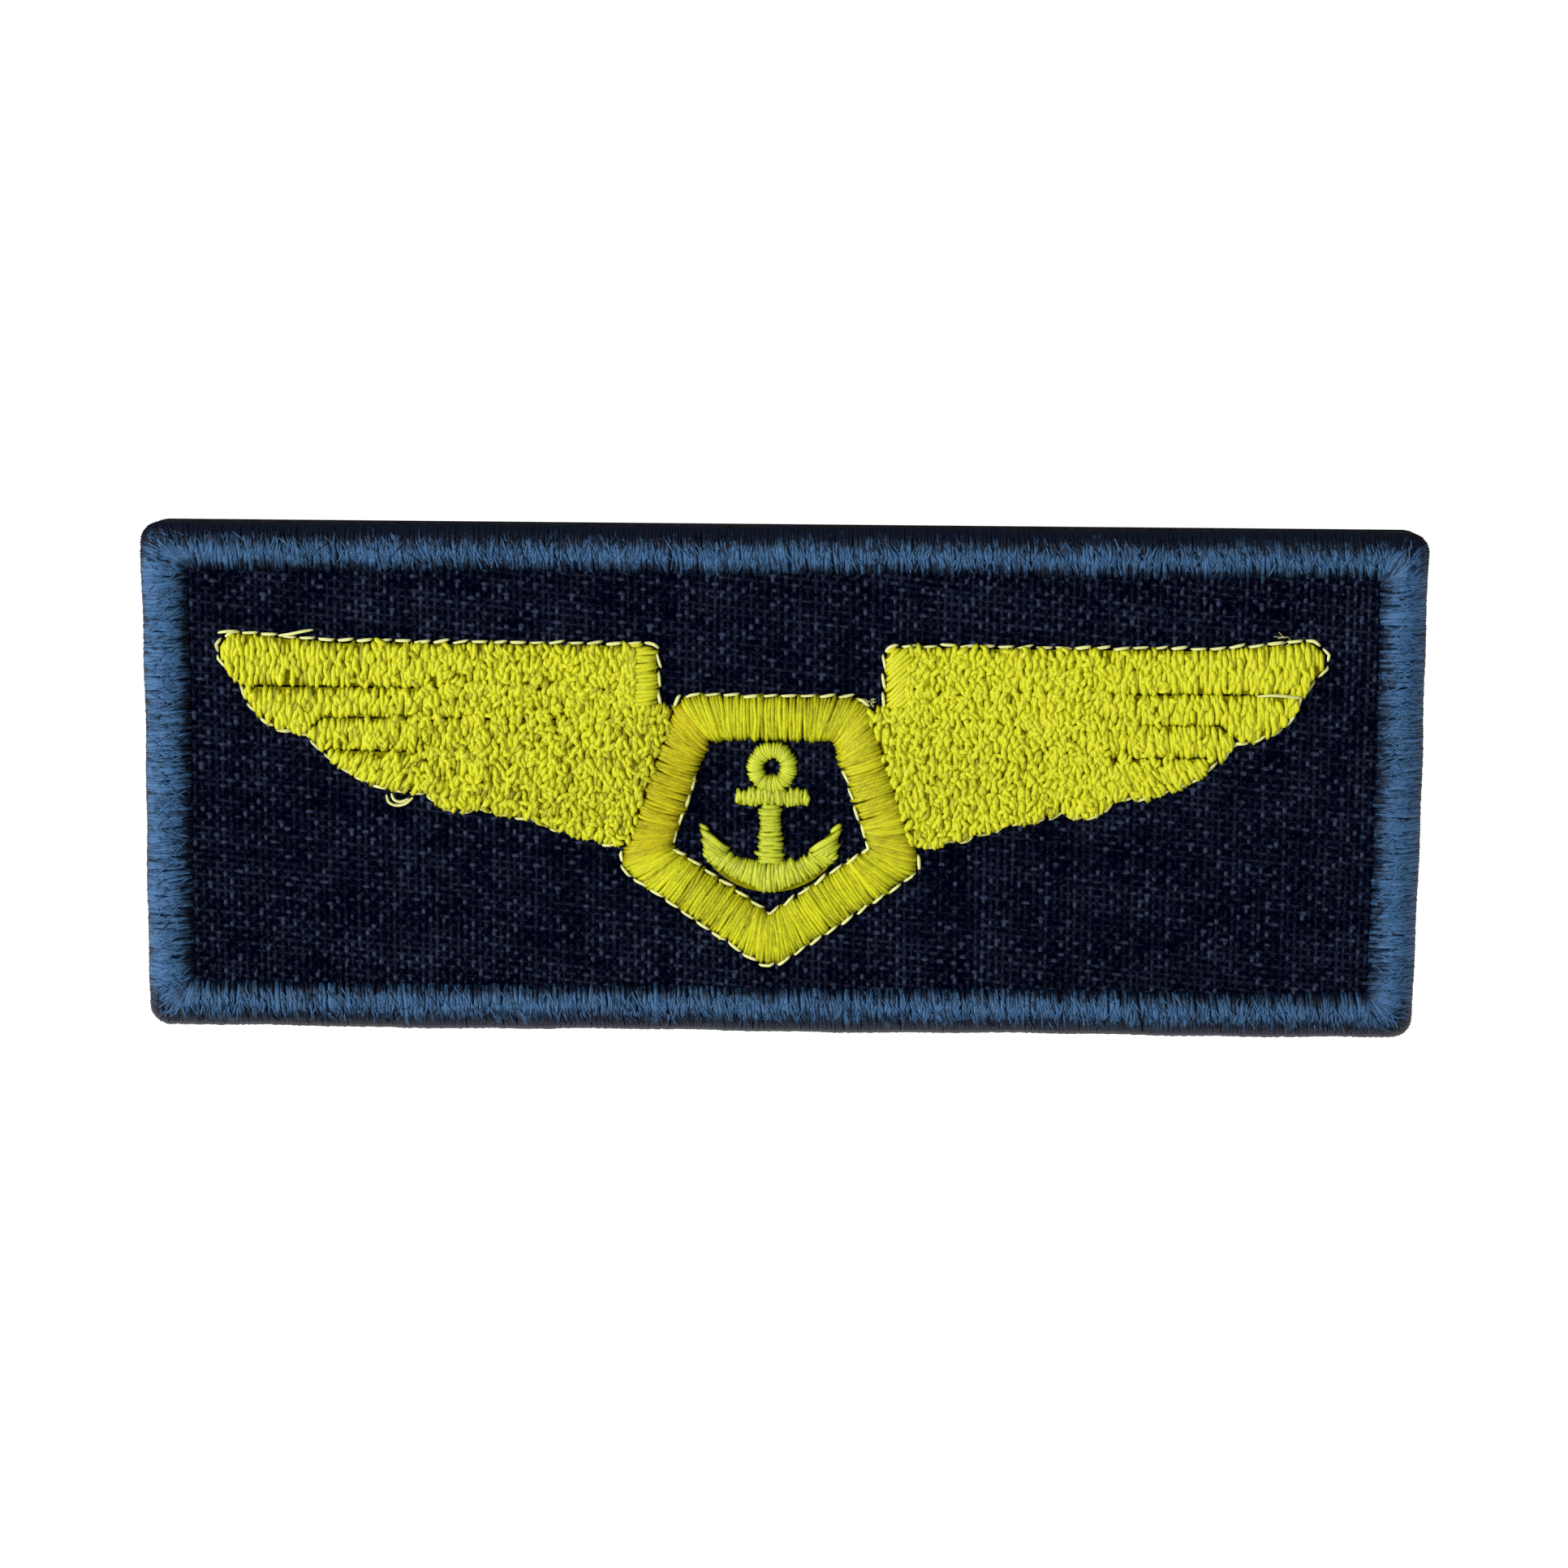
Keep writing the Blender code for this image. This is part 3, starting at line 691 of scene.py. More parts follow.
def lay_bed(name, outline, top, material):
    """Padding under a field's stitches, sunk a little into the cloth."""
    bed = prism_mesh(f"{name}_underlay", outline, FACE_W - 0.04, FACE_W + top)
    finish_piece(bed, material, "patch")


def feather_field(node, rim, angle, rng, length, threads_used, tone, mirror):
    """A wing field: rows of upright stitches, and nearer the root a layer of nubs over them."""
    thread, underlay = threads_used
    name, at_root = f"{node}_stitches", node.endswith("root_fill")
    outline = outline_of(node)
    lay_bed(name, widened(outline, 0.08), 0.17, underlay)
    wide = filled_to_rim(outline, rim, 0.34, 0.05)

    def nearer_root(pairs, blend):
        out = abs(pairs[:, :, 0].mean(axis=1) - EMBLEM_U)
        return at_root | (out < NUB_LIMIT - blend / 2 + rng.uniform(0, blend, len(pairs)))

    lower = row_stitches(wide, angle, 0.36, length, rng, 0.05)
    upper = row_stitches(wide, angle, 0.4, length * 0.9, rng, 0.08)
    upper = upper[~nearer_root(upper, 10) & (rng.uniform(0, 1, len(upper)) < 0.4)]
    beads = nub_stitches(wide, rng, 0.56, 0.22, (0.42, 0.66))
    beads = turned_about_middle(beads, np.full(len(beads), angle - math.pi / 2))
    beads = beads[~nearer_root(beads, 8)]
    nubs = nub_stitches(filled_to_rim(outline, rim, 0.4, 0.42), rng)
    top = outline[:, 1].max()
    nubs = nubs[nubs[:, :, 1].max(axis=1) < top + (0.1 if top > TOP_EDGE_V else 1)]
    nubs = nubs[nearer_root(nubs, 12)]
    few = nub_stitches(filled_to_rim(outline, rim, 0.36, 0.1), rng, 0.75)
    few = few[nearer_root(few, 16)]
    found = {"lower": lower, "upper": upper, "beads": beads, "nubs": nubs, "few": few}
    groups = [stitch_group(kind, pairs, tone, rng) for kind, pairs in found.items() if len(pairs)]
    if at_root:
        groups.append(stitch_group("bridges", bridge_stitches(mirror, rng), tone, rng))
    finish_piece(merged(name, groups), thread, "patch", (node,))


def satin_field(node, lines, rng, threads_used, rise, tone, grow=0.0):
    """A satin column: close stitches, given by their ends, that arch over padding."""
    thread, underlay = threads_used
    name = f"{node}_stitches"
    lay_bed(name, widened(outline_of(node), grow), 0.14, underlay)
    points = 11
    lines = jittered(lines, rng, 0.09, 0.045)
    length = np.linalg.norm(lines[:, 1] - lines[:, 0], axis=1)
    height = rise * np.clip(length / 2.2, 0.45, 1.0) + rng.normal(0, 0.02, len(lines))
    paths = stitch_paths(lines, FACE_W + 0.04, height, rng, points, 2.6, 0.07, 0.1)
    thick = 0.195 * rng.uniform(0.9, 1.08, (len(lines), 1)) * taper(points, 0.7)[None, :]
    tint = strand_tint(len(lines), points, rng, tone, 0.07, 0.14)
    tint = tint + rng.normal(0, 0.05, tint.shape)
    piece = threads(name, paths, thick, thick * 0.9, tint, 6, 3.0)
    finish_piece(piece, thread, "patch", (node,))


def straight_lines(node, angle, pitch, grow=0.05):
    """Ends of parallel stitches right across a node."""
    lines = scan(widened(outline_of(node), grow), angle, pitch, 0.4)
    return lines[np.linalg.norm(lines[:, 1] - lines[:, 0], axis=1) > 0.3]


SHIELD_INNER = ((-5.05, 3.6), (5.05, 3.6), (8.05, -5.25), (0.0, -10.75), (-8.05, -5.25))
SHIELD_SIDES = ("top", "right_side", "lower_right", "lower_left", "left_side")
SHIELD_WIDTHS = (3.1, 3.0, 3.3, 3.3, 3.0)
SHIELD_ROUNDING = 0.5
SHIELD_PITCH = 0.275
FAN_REACH = 2.2
SHIELD_OVERRUN = 0.2


def shield_lines(number):
    """Ends of a shield column's stitches, square to the side and fanned at its mitres."""
    corners = np.array(SHIELD_INNER) + (EMBLEM_U, 0)
    outer = []
    for i in range(5):
        ways, spots = [], []
        for side in (i - 1, i):
            a, b = corners[side % 5], corners[(side + 1) % 5]
            ways.append(unit(b - a))
            spots.append(a + left_of(ways[-1]) * SHIELD_WIDTHS[side % 5])
        step = np.linalg.solve(np.stack([ways[0], -ways[1]], 1), spots[1] - spots[0])
        outer.append(spots[0] + ways[0] * step[0])
    a, b = corners[number], corners[(number + 1) % 5]
    way = unit(b - a)
    out_a, out_b = outer[number], outer[(number + 1) % 5]
    start, end = (out_a - a) @ way, (out_b - a) @ way
    total = np.linalg.norm(b - a)
    count = round((end - start) / SHIELD_PITCH)
    at = start + (end - start) * (np.arange(count) + 0.5) / count
    near_a = FAN_REACH / (FAN_REACH - start)
    near_b = FAN_REACH / (FAN_REACH + end - total)
    inner_at = np.where(at < FAN_REACH, (at - start) * near_a, at)
    inner_at = np.where(at > total - FAN_REACH, total - (end - at) * near_b, inner_at)
    outside = out_a + way * (at - start)[:, None]
    inside_ends = a + way * inner_at[:, None]
    to_corner = np.minimum(at - start, end - at)
    pull = SHIELD_ROUNDING * np.clip(1 - to_corner / 1.5, 0, 1) ** 2
    way_in = unit(inside_ends - outside)
    outside = outside + way_in * (pull - SHIELD_OVERRUN)[:, None]
    return np.stack([outside, inside_ends + way_in * SHIELD_OVERRUN], 1)


# A running stitch: its length with its gap, what is left out at each of its ends, its height,
# and the spacing of the points that it is cut from
DASH_LENGTH = 1.5
DASH_GAP = 0.16
DASH_LIFT = 0.3
DASH_STEP = 0.05


def running_stitch(name, node, rng, material, tone_at):
    """Dashes of thread along an outline, each diving into the cloth at both ends.

    tone_at gives a dash's tint, from the fill's gold at 0.3 to pale at 0.8, by its place.
    """
    fine = resampled(centre_line(node), DASH_STEP)
    step, gap = int(DASH_LENGTH / DASH_STEP), int(DASH_GAP / DASH_STEP)
    points = 10
    dashes = []
    for start in range(0, len(fine) - step // 2, step):
        run = fine[start + gap : min(start + step, len(fine)) - gap + 1]
        if len(run) < 8:
            continue
        at, whole = np.linspace(0, len(run) - 1, points), np.arange(len(run))
        dash = np.stack([np.interp(at, whole, places) for places in run.T], -1)
        slant = rng.normal(0, 0.05) + 0.07
        bow = np.linspace(-1, 1, points)[:, None] * slant + rng.normal(0, 0.04)
        dashes.append(dash + left_of(unit(dash[-1] - dash[0])) * bow)
    flat = np.array(dashes)
    lift = DASH_LIFT + rng.uniform(-0.03, 0.05, (len(flat), 1))
    paths = raised(flat, FACE_W - 0.08 + lift * arch(points, 4.0)[None, :])
    tint = strand_tint(len(flat), points, rng, 0.0, 0.12, 0.2)
    tint = tint + np.array([tone_at(*dash.mean(axis=0)) for dash in flat])[:, None]
    thick = 0.145 * rng.uniform(0.75, 1.05, (len(flat), 1)) * taper(points, 0.6)[None, :]
    piece = threads(name, paths, thick, thick * 0.93, tint, 8, 4.0)
    finish_piece(piece, material, "patch", (node,))


# -------------------------------------------------------------------------------- border

# The overlock thread's way round the edge: (distance in from the edge, w)
BORDER_ROUTE = (
    (3.45, 3.68), (3.2, 3.86), (2.6, 4.12), (1.95, 4.32), (1.35, 4.36),
    (0.75, 4.12), (0.2, 3.6), (-0.08, 3.15), (0.0, 2.84), (0.4, 2.62),
    (1.2, 2.5), (2.3, 2.5), (3.2, 2.55), (3.42, 2.66),
)
BORDER_PITCH = 0.225
# The cord under the overlock stitches, given the same way
BORDER_CORE = (
    (3.2, 3.77), (2.7, 3.98), (2.0, 4.19), (1.4, 4.25), (0.85, 4.04),
    (0.42, 3.6), (0.24, 3.08), (0.3, 2.9), (0.6, 2.74), (1.2, 2.66),
    (3.1, 2.7), (3.1, 2.8), (0.64, 2.8), (0.64, 3.5), (1.2, 3.78),
)
CORE_CORNER = 0.3
# Radius of the small arc on which the threads of a corner meet
FAN_RADIUS = 0.35
# How far in the border starts to darken, outwards and inwards, by painted shade
CROWN_IN = 2.1


def edge_stations(pitch):
    """Each border thread's outer point, its run from there inwards, and that run's way."""
    outer, inner = [], []
    reach = BORDER_WIDTH
    for side in range(4):
        along = HALF_U if side % 2 == 0 else HALF_V
        out = HALF_V if side % 2 == 0 else HALF_U
        turn = -math.pi / 2 * side
        straight = along - reach
        count = round(2 * straight / pitch)
        for i in range(count):
            at = -straight + 2 * straight * (i + 0.5) / count
            outer.append(rotated([[at, out]], turn)[0])
            inner.append(rotated([[at, out - reach]], turn)[0])
        # From the end of this side's straight stretch round the corner to the next one's.
        centre = np.array([along - CORNER_RADIUS, out - CORNER_RADIUS])
        flat = reach - CORNER_RADIUS
        arc_length = CORNER_RADIUS * math.pi / 2
        total = 2 * flat + arc_length
        fan = round(total / pitch)
        for i in range(fan):
            at = total * (i + 0.5) / fan
            if at < flat:
                spot = np.array([along - reach + at, out])
            elif at < flat + arc_length:
                angle = math.pi / 2 - (at - flat) / CORNER_RADIUS
                spot = centre + CORNER_RADIUS * np.array([math.cos(angle), math.sin(angle)])
            else:
                spot = np.array([along, out - CORNER_RADIUS - (at - flat - arc_length)])
            bend = math.pi / 2 * (1 - at / total)
            inner_centre = np.array([along - reach - FAN_RADIUS, out - reach - FAN_RADIUS])
            inner_spot = inner_centre + FAN_RADIUS * np.array([math.cos(bend), math.sin(bend)])
            outer.append(rotated([spot], turn)[0])
            inner.append(rotated([inner_spot], turn)[0])
    outer, run = np.array(outer), np.array(inner) - np.array(outer)
    return outer, run, run / np.linalg.norm(run, axis=1, keepdims=True)


def border_shade(inward, way, rim_shade, shade):
    """How much darker the border is at a distance in: painted shade outwards, deeper on the top and
    bottom sides, and painted shade at its foot.
    """
    # Painted shade, deeper on the top and bottom sides, whose threads run up and down
    outer_shade = rim_shade + 0.75 * abs(way[:, 1:2])
    outwards = outer_shade * np.clip((CROWN_IN - inward) / 1.5, 0, 1)
    return outwards + shade * np.clip((inward - CROWN_IN) / 1.0, 0, 1)


def sideways(ways):
    """The ways to the left of flat ones, as (u, v, w)."""
    return raised(left_of(ways), np.zeros(len(ways)))


def make_border(rng, material):
    """The overlock threads, each with its own lean, sway, looseness and tint."""
    outer, run, way = edge_stations(BORDER_PITCH)
    count = len(outer)
    points = 15
    route = curve_through(BORDER_ROUTE, points)
    share = route[:, 0] / BORDER_WIDTH
    flat = outer[:, None, :] + run[:, None, :] * share[None, :, None]
    t = np.linspace(0, 1, points)[None, :]
    lean = share[None, :] * rng.normal(0.25, 0.13, (count, 1))
    waves, phase = rng.uniform(1, 3.2, (count, 1)), rng.uniform(0, 1, (count, 1))
    sway = 0.11 * np.sin(2 * math.pi * (t * waves + phase))
    on_face = np.clip(share / 0.25, 0, 1)[None, :]
    aside = lean + sway * rng.uniform(0.2, 1, (count, 1)) * on_face
    flat = shifted(flat, left_of(way), aside)
    number = np.arange(count)
    slow = 0.06 * np.sin(number * 0.045) + 0.03 * np.sin(number * 0.17 + 1)
    flat = shifted(flat, way, slow[:, None])
    height = route[None, :, 1] + rng.normal(0, 0.045, (count, 1)) * np.sin(math.pi * t)
    inner_end = np.clip(rng.normal(0.02, 0.07, (count, 1)), -0.2, 0.2) * np.exp(-7 * t)
    flat = shifted(flat, way, inner_end)
    width = 0.175 * taper(points, 0.85)[None, :] * rng.uniform(0.88, 1.12, (count, 1))

    face = np.where(route[:, 1] > 3.4, route[:, 0], 0.0)[None, :]
    every_fourth = np.arange(0, count, 4)
    blotch = np.interp(number, every_fourth, rng.normal(0, 0.05, len(every_fourth)))
    tint = rng.normal(0.2, 0.09, (count, 1)) + blotch[:, None]
    tint = tint + 0.12 * np.sin(9 * t + rng.uniform(0, 6, (count, 1)))
    # Painted shade: border_shade darkens the rim and the foot, and the threads darken further where
    # they turn round the edge and under it
    tint = tint - border_shade(face, way, 0.06, 0.6) - 0.4 * np.clip((0.4 - face) / 0.3, 0, 1)
    piece = threads("edge_border_threads", raised(flat, height), width, width * 0.95, tint,
                    6, 3.0, sideways(way))
    finish_piece(piece, material, "patch", ("edge_border",))


def make_border_fuzz(rng, material):
    """Fine loose filaments that lie askew on the border's crown."""
    outer, _, way = edge_stations(BORDER_PITCH / 2.4)
    count = len(outer)
    middle = rng.uniform(0.5, 2.9, (count, 1))
    reach = rng.uniform(0.25, 0.6, (count, 1)) * np.linspace(-1, 1, 7)[None, :]
    slant = rng.normal(0.0, 0.45, (count, 1))
    inward = np.clip(middle + reach, 0.5, 3.3)
    crown = curve_through(BORDER_ROUTE[:7], 40)[::-1]
    height = np.interp(inward, crown[:, 0], crown[:, 1]) + 0.13 + rng.uniform(0, 0.09, (count, 1))
    aside = slant * reach + 0.08 * np.sin(reach * rng.uniform(2, 5, (count, 1)))
    flat = shifted(shifted(outer[:, None, :], way, inward), left_of(way), aside)
    # Paler than the border's threads as a painted highlight, less the painted shade of border_shade
    tint = rng.normal(0.34, 0.22, (count, 1)) - border_shade(inward, way, 0.1, 0.5)
    piece = threads("edge_border_filaments", raised(flat, height), 0.075, 0.06, tint,
                    4, 0.0, sideways(way))
    finish_piece(piece, material, "patch")


def make_border_core(material):
    """The cord of thread under the overlock stitches, which closes the gaps between them."""
    points = []
    for inward, w in BORDER_CORE:
        corner = max(CORE_CORNER, CORNER_RADIUS - inward)
        ring = rounded_outline(HALF_U - inward, HALF_V - inward, corner, 6)
        points += [(u, v, w) for u, v in ring]
    rings, count = len(BORDER_CORE), len(ring)
    faces = []
    for i in range(rings):
        j = (i + 1) % rings
        for k in range(count):
            m = (k + 1) % count
            faces.append((i * count + k, i * count + m, j * count + m, j * count + k))
    mesh = bpy.data.meshes.new("edge_border_core")
    mesh.from_pydata(upright(points).tolist(), [], faces)
    mesh.shade_smooth()
    core = add_object("edge_border_core", mesh)
    finish_piece(core, material, "patch")


# --------------------------------------------------------------------------------- weave

# Each weave: the pitch of its yarns, their swing over and under, half width, half height
GROUND_WEAVE = (0.56, 0.07, 0.17, 0.1)
HOOK_WEAVE = (0.7, 0.04, 0.27, 0.07)
LOOP_WEAVE = (0.66, 0.045, 0.25, 0.075)
GROUND_SKEW = -0.11
# How far in from the patch's edge the border hides the cloth
BORDER_COVER = 2.9


def yarns(name, half_along, half_across, weave, centre_w, rng, vertical, offset, skew):
    """Parallel yarns that pass over and under a set crossing them, as in plain weave.

    skew is how far the horizontal yarns climb per mm along them, as in cloth pulled askew.
    """
    pitch, swing, half_width, half_height = weave
    drift = 0 if vertical else abs(skew) * half_along
    count = int(2 * (half_across + drift) / pitch)
    points = 2 * int(2 * half_along / pitch) + 1
    at = (np.arange(count) - (count - 1) / 2) * pitch
    steps = (np.arange(points) - (points - 1) / 2) * pitch / 2
    if vertical:
        climb = skew * at[:, None]
        along = steps[None, :] + climb - np.round(2 * climb / pitch) * pitch / 2
        crossing = (along - climb) / pitch
    else:
        ends = np.full((count, 2), (-half_along, half_along), float)
        if skew:
            reach = np.array([[-half_across, half_across]])
            limits = np.sort((reach - at[:, None]) / skew, axis=1)
            ends = np.clip(limits, -half_along, half_along)
        kept = ends[:, 1] - ends[:, 0] > 4 * pitch
        at, ends = at[kept], ends[kept]
        share = np.linspace(0, 1, points)[None, :]
        along = ends[:, :1] * (1 - share) + ends[:, 1:] * share
        crossing = along / pitch
        count = len(at)
    number = np.round(at / pitch - 0.25)[:, None]
    phase = math.pi * (crossing + number + offset)
    wander = rng.normal(0, pitch * 0.05, (count, 1)) + pitch * 0.07 * np.sin(
        along * rng.uniform(0.2, 0.5, (count, 1)) + rng.uniform(0, 6, (count, 1))
    )
    across = at[:, None] + wander + (0 if vertical else skew * along)
    flat = np.stack([across, along] if vertical else [along, across], -1)
    height = centre_w + swing * np.sin(phase)
    width = np.abs(half_width * (1 + rng.normal(0, 0.12, (count, points))))
    tint = speck_and_float_light_tint(np.sin(phase), rng)
    return threads(name, raised(flat, height), width, half_height, tint, 4, 2.0)


def speck_and_float_light_tint(over, rng):
    """Dark yarns, a little paler where they pass over as painted light, with a few random paler
    specks there.
    """
    speck = rng.uniform(0, 1, over.shape) ** 5
    even = rng.normal(-0.1, 0.05, over.shape) + rng.normal(0, 0.03, (len(over), 1))
    # Painted light: paler where the yarn rides over, darker where it dives under; the specks are
    # random
    return even + (0.05 + 1.1 * speck) * np.clip(over, 0, 1) ** 2


def woven(prefix, half_u, half_v, weave, centre_w, rng, warp_upright, skew, finish):
    """Warp and weft as two pieces, finished with the given material and body; the slot in finish is
    not used.
    """
    material, body, slot = finish
    made = []
    for kind, vertical, offset in (("warp", warp_upright, 0.0), ("weft", not warp_upright, 1.0)):
        spans = (half_v, half_u) if vertical else (half_u, half_v)
        name = f"{prefix}_{kind}"
        piece = yarns(name, *spans, weave, centre_w, rng, vertical, offset, skew)
        made.append(finish_piece(piece, material, body))
    return made


def make_ground(rng):
    yarn = thread_material("ground_yarn", (0.0001, 0.0006, 0.0075), (0.038, 0.05, 0.092),
                           0.9, 0.0, 0.0)
    cloth = cloth_material("ground_core", (0.0002, 0.0006, 0.005), (0.0006, 0.0015, 0.009), 1800)
    half_u, half_v, low, high = layer("ground_fabric")
    core = prism_mesh("ground_core", rounded_outline(half_u, half_v, 0.9), low + 0.02, high - 0.24)
    finish_piece(core, cloth, "patch", ("ground_fabric",))
    made = woven("ground", HALF_U - BORDER_COVER, HALF_V - BORDER_COVER, GROUND_WEAVE, high - 0.12,
                 rng, True, GROUND_SKEW, (yarn, "patch", "ground_cloth"))


# ------------------------------------------------------------------------ hook and loop

# One hook and one loop, as (out, w), and the half thickness of a hook along it
HOOK_PROFILE = (
    (0, 2.34), (0, 2.12), (0.02, 1.94), (0.1, 1.8), (0.24, 1.74), (0.38, 1.79), (0.44, 1.92),
)
HOOK_THICKNESS = (0.1, 0.09, 0.09, 0.085, 0.08, 0.08, 0.06)
LOOP_PROFILE = (
    (0, 0.62), (-0.1, 0.85), (-0.16, 1.1), (-0.08, 1.34), (0.15, 1.44), (0.4, 1.38),
    (0.52, 1.14), (0.42, 0.86), (0.3, 0.62),
)
# How far apart they stand along u and v
HOOK_SPACING = (1.3, 1.25)
LOOP_SPACING = (1.04, 0.94)


def spots_in(half_u, half_v, spacing, rng, loose):
    """Places in staggered rows over a rectangle, each a little off its own spot."""
    pitch_u, pitch_v = spacing
    rows = np.arange(-half_v, half_v + 0.001, pitch_v)
    found = []
    for number, v in enumerate(rows):
        u = np.arange(-half_u + (number % 2) * pitch_u / 2, half_u, pitch_u)
        found.append(np.stack([u, np.full_like(u, v)], -1))
    found = np.concatenate(found)
    return found + rng.normal(0, loose, found.shape)


def bent_wires(spots, ways, profile, stretch):
    """Copies of one bent profile, (out, w) points, each at its spot and facing its own way."""
    profile = np.array(profile, float)
    out = profile[None, :, 0] * stretch[:, None]
    height = np.broadcast_to(profile[None, :, 1], out.shape)
    return raised(shifted(spots[:, None, :], ways, out), height), sideways(ways)


def seam_stitches(name, half_u, half_v, level, rise, length, rng):
    """A lock-stitch seam round a rectangle, seen from behind, so it rises towards -w."""
    corners = np.array([(-1, -1), (1, -1), (1, 1), (-1, 1), (-1, -1)]) * (half_u, half_v)
    dashes = []
    for a, b in zip(corners[:-1], corners[1:]):
        count = round(np.linalg.norm(b - a) / length)
        for i in range(count):
            dashes.append((a + (b - a) * (i + 0.05) / count, a + (b - a) * (i + 0.95) / count))
    points = 9
    paths = stitch_paths(np.array(dashes), 0, abs(rise), rng, points, 5.0, 0.03, 0.1)
    paths[..., 2] = level + math.copysign(1, rise) * paths[..., 2]
    tint = strand_tint(len(dashes), points, rng, 0.6)
    return threads(name, paths, 0.14 * taper(points, 0.6), 0.12 * taper(points, 0.6), tint, 7, 4.0)


def make_hook_tape(rng):
    half_u, half_v, low, high = layer("hook_tape")
    tape = cloth_material("hook_tape_cloth", (0.006, 0.006, 0.007), (0.018, 0.018, 0.02), 1500)
    yarn = thread_material("hook_tape_yarn", (0.004, 0.004, 0.005), (0.03, 0.03, 0.034), 0.7, 0.1)
    nylon = thread_material("hook_nylon", (0.006, 0.006, 0.007), (0.04, 0.04, 0.044),
                            0.32, 0.0, fibre=0.2)
    navy = thread_material("seam_thread", (0.004, 0.006, 0.02), (0.03, 0.04, 0.11), 0.55, 0.15)
    core = prism_mesh("hook_tape_core", rounded_outline(half_u, half_v, 0.4), low + 0.12, high)
    finish_piece(core, tape, "patch", ("hook_tape",))
    made = woven("hook_tape", half_u - 0.1, half_v - 0.1, HOOK_WEAVE, low + 0.11, rng,
                 False, 0.0, (yarn, "patch", "hook_base"))

    pile_u, pile_v, _, _ = layer("hook_pile")
    spots = spots_in(pile_u - 0.5, pile_v - 0.3, HOOK_SPACING, rng, 0.05)
    turned = np.where(rng.uniform(0, 1, len(spots)) < 0.5, 0.0, math.pi)
    ways = ways_at(turned + rng.normal(0, 0.25, len(spots)))
    paths, side = bent_wires(spots, ways, HOOK_PROFILE, rng.uniform(0.85, 1.15, len(spots)))
    tint = rng.normal(0.4, 0.15, len(spots))
    hooks = threads("hook_bristles", paths, HOOK_THICKNESS, HOOK_THICKNESS, tint, 6, 0.0, side)
    made.append(finish_piece(hooks, nylon, "patch", ("hook_pile",)))

    seam_u, seam_v, _, seam_high = layer("hook_seam")
    seam = seam_stitches("hook_seam_stitches", seam_u - 0.25, seam_v - 0.25, seam_high + 0.08,
                         -0.2, 2.4, rng)
    made.append(finish_piece(seam, navy, "patch", ("hook_seam",)))


def make_stiffener():
    half_u, half_v, low, high = layer("stiffener")
    felt = cloth_material("stiffener_felt", (0.45, 0.45, 0.43), (0.8, 0.8, 0.77), 900)
    piece = prism_mesh("stiffener_felt", rounded_outline(half_u, half_v, 0.9), low, high)
    finish_piece(piece, felt, "patch", ("stiffener",))


def colour_bobbin_thread():
    """The bobbin thread keeps its CAD solid, so it only needs a material."""
    bobbin = cloth_material("bobbin_thread", (0.5, 0.5, 0.47), (0.85, 0.85, 0.82), 1400)
    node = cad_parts["bobbin_thread"]
    if node.material_slots:
        for slot in node.material_slots:
            slot.material = bobbin
    else:
        node.data.materials.append(bobbin)


def make_loop_tape(rng):
    half_u, half_v, low, high = layer("loop_tape")
    tape = cloth_material("loop_tape_cloth", (0.006, 0.006, 0.008), (0.02, 0.02, 0.024), 1500)
    yarn = thread_material("loop_tape_yarn", (0.006, 0.006, 0.009), (0.07, 0.07, 0.085), 0.7, 0.12)
    fur = thread_material("loop_nylon", (0.01, 0.01, 0.014), (0.11, 0.11, 0.13), 0.5, 0.25,
                          fibre=0.4)
    black = thread_material("panel_seam_thread", (0.01, 0.01, 0.013), (0.09, 0.09, 0.1), 0.5, 0.1)
    outline = rounded_outline(half_u, half_v, CORNER_RADIUS)
    core = prism_mesh("loop_tape_core", outline, low + 0.14, high - 0.02)
    finish_piece(core, tape, "garment_side", ("loop_tape",))
    made = woven("loop_tape", half_u - 0.35, half_v - 0.35, LOOP_WEAVE, low + 0.12, rng,
                 False, 0.0, (yarn, "garment_side", "loop_base"))
    seam = seam_stitches("loop_panel_seam", half_u - 2.2, half_v - 2.2, low + 0.16, -0.05, 2.6, rng)
    made.append(finish_piece(seam, black, "garment_side"))

    pile_u, pile_v, _, _ = layer("loop_pile")
    spots = spots_in(pile_u - 0.8, pile_v - 0.8, LOOP_SPACING, rng, 0.14)
    ways = ways_at(rng.uniform(0, 2 * math.pi, len(spots)))
    paths, side = bent_wires(spots, ways, LOOP_PROFILE, rng.uniform(0.8, 1.5, len(spots)))
    higher = np.sin(np.linspace(0, math.pi, len(LOOP_PROFILE)))
    paths[..., 2] += rng.normal(0, 0.06, (len(spots), 1)) * higher
    tint = rng.normal(0.4, 0.2, len(spots))
    loops = threads("loop_pile_fur", paths, 0.055, 0.055, tint, 5, 0.0, side)
    made.append(finish_piece(loops, fur, "garment_side", ("loop_pile",)))


# ------------------------------------------------------------------------------- emblem

# The emblem's threads: the two ends of the tint, roughness, specular
EMBLEM_THREADS = {
    "gold_thread": ((0.11, 0.1, 0.0), (0.67, 0.675, 0.016), 0.36, 0.3),
    "amber_thread": ((0.13, 0.1, 0.0), (0.63, 0.57, 0.009), 0.4, 0.15),
    "satin_gold_thread": ((0.12, 0.105, 0.0), (0.67, 0.68, 0.013), 0.45, 0.14),
    "warm_gold_thread": ((0.12, 0.1, 0.0), (0.65, 0.63, 0.012), 0.4, 0.2),
    "lime_thread": ((0.1, 0.115, 0.001), (0.6, 0.67, 0.03), 0.36, 0.4),
    "outline_thread": ((0.2, 0.19, 0.003), (0.84, 0.85, 0.34), 0.4, 0.3),
}
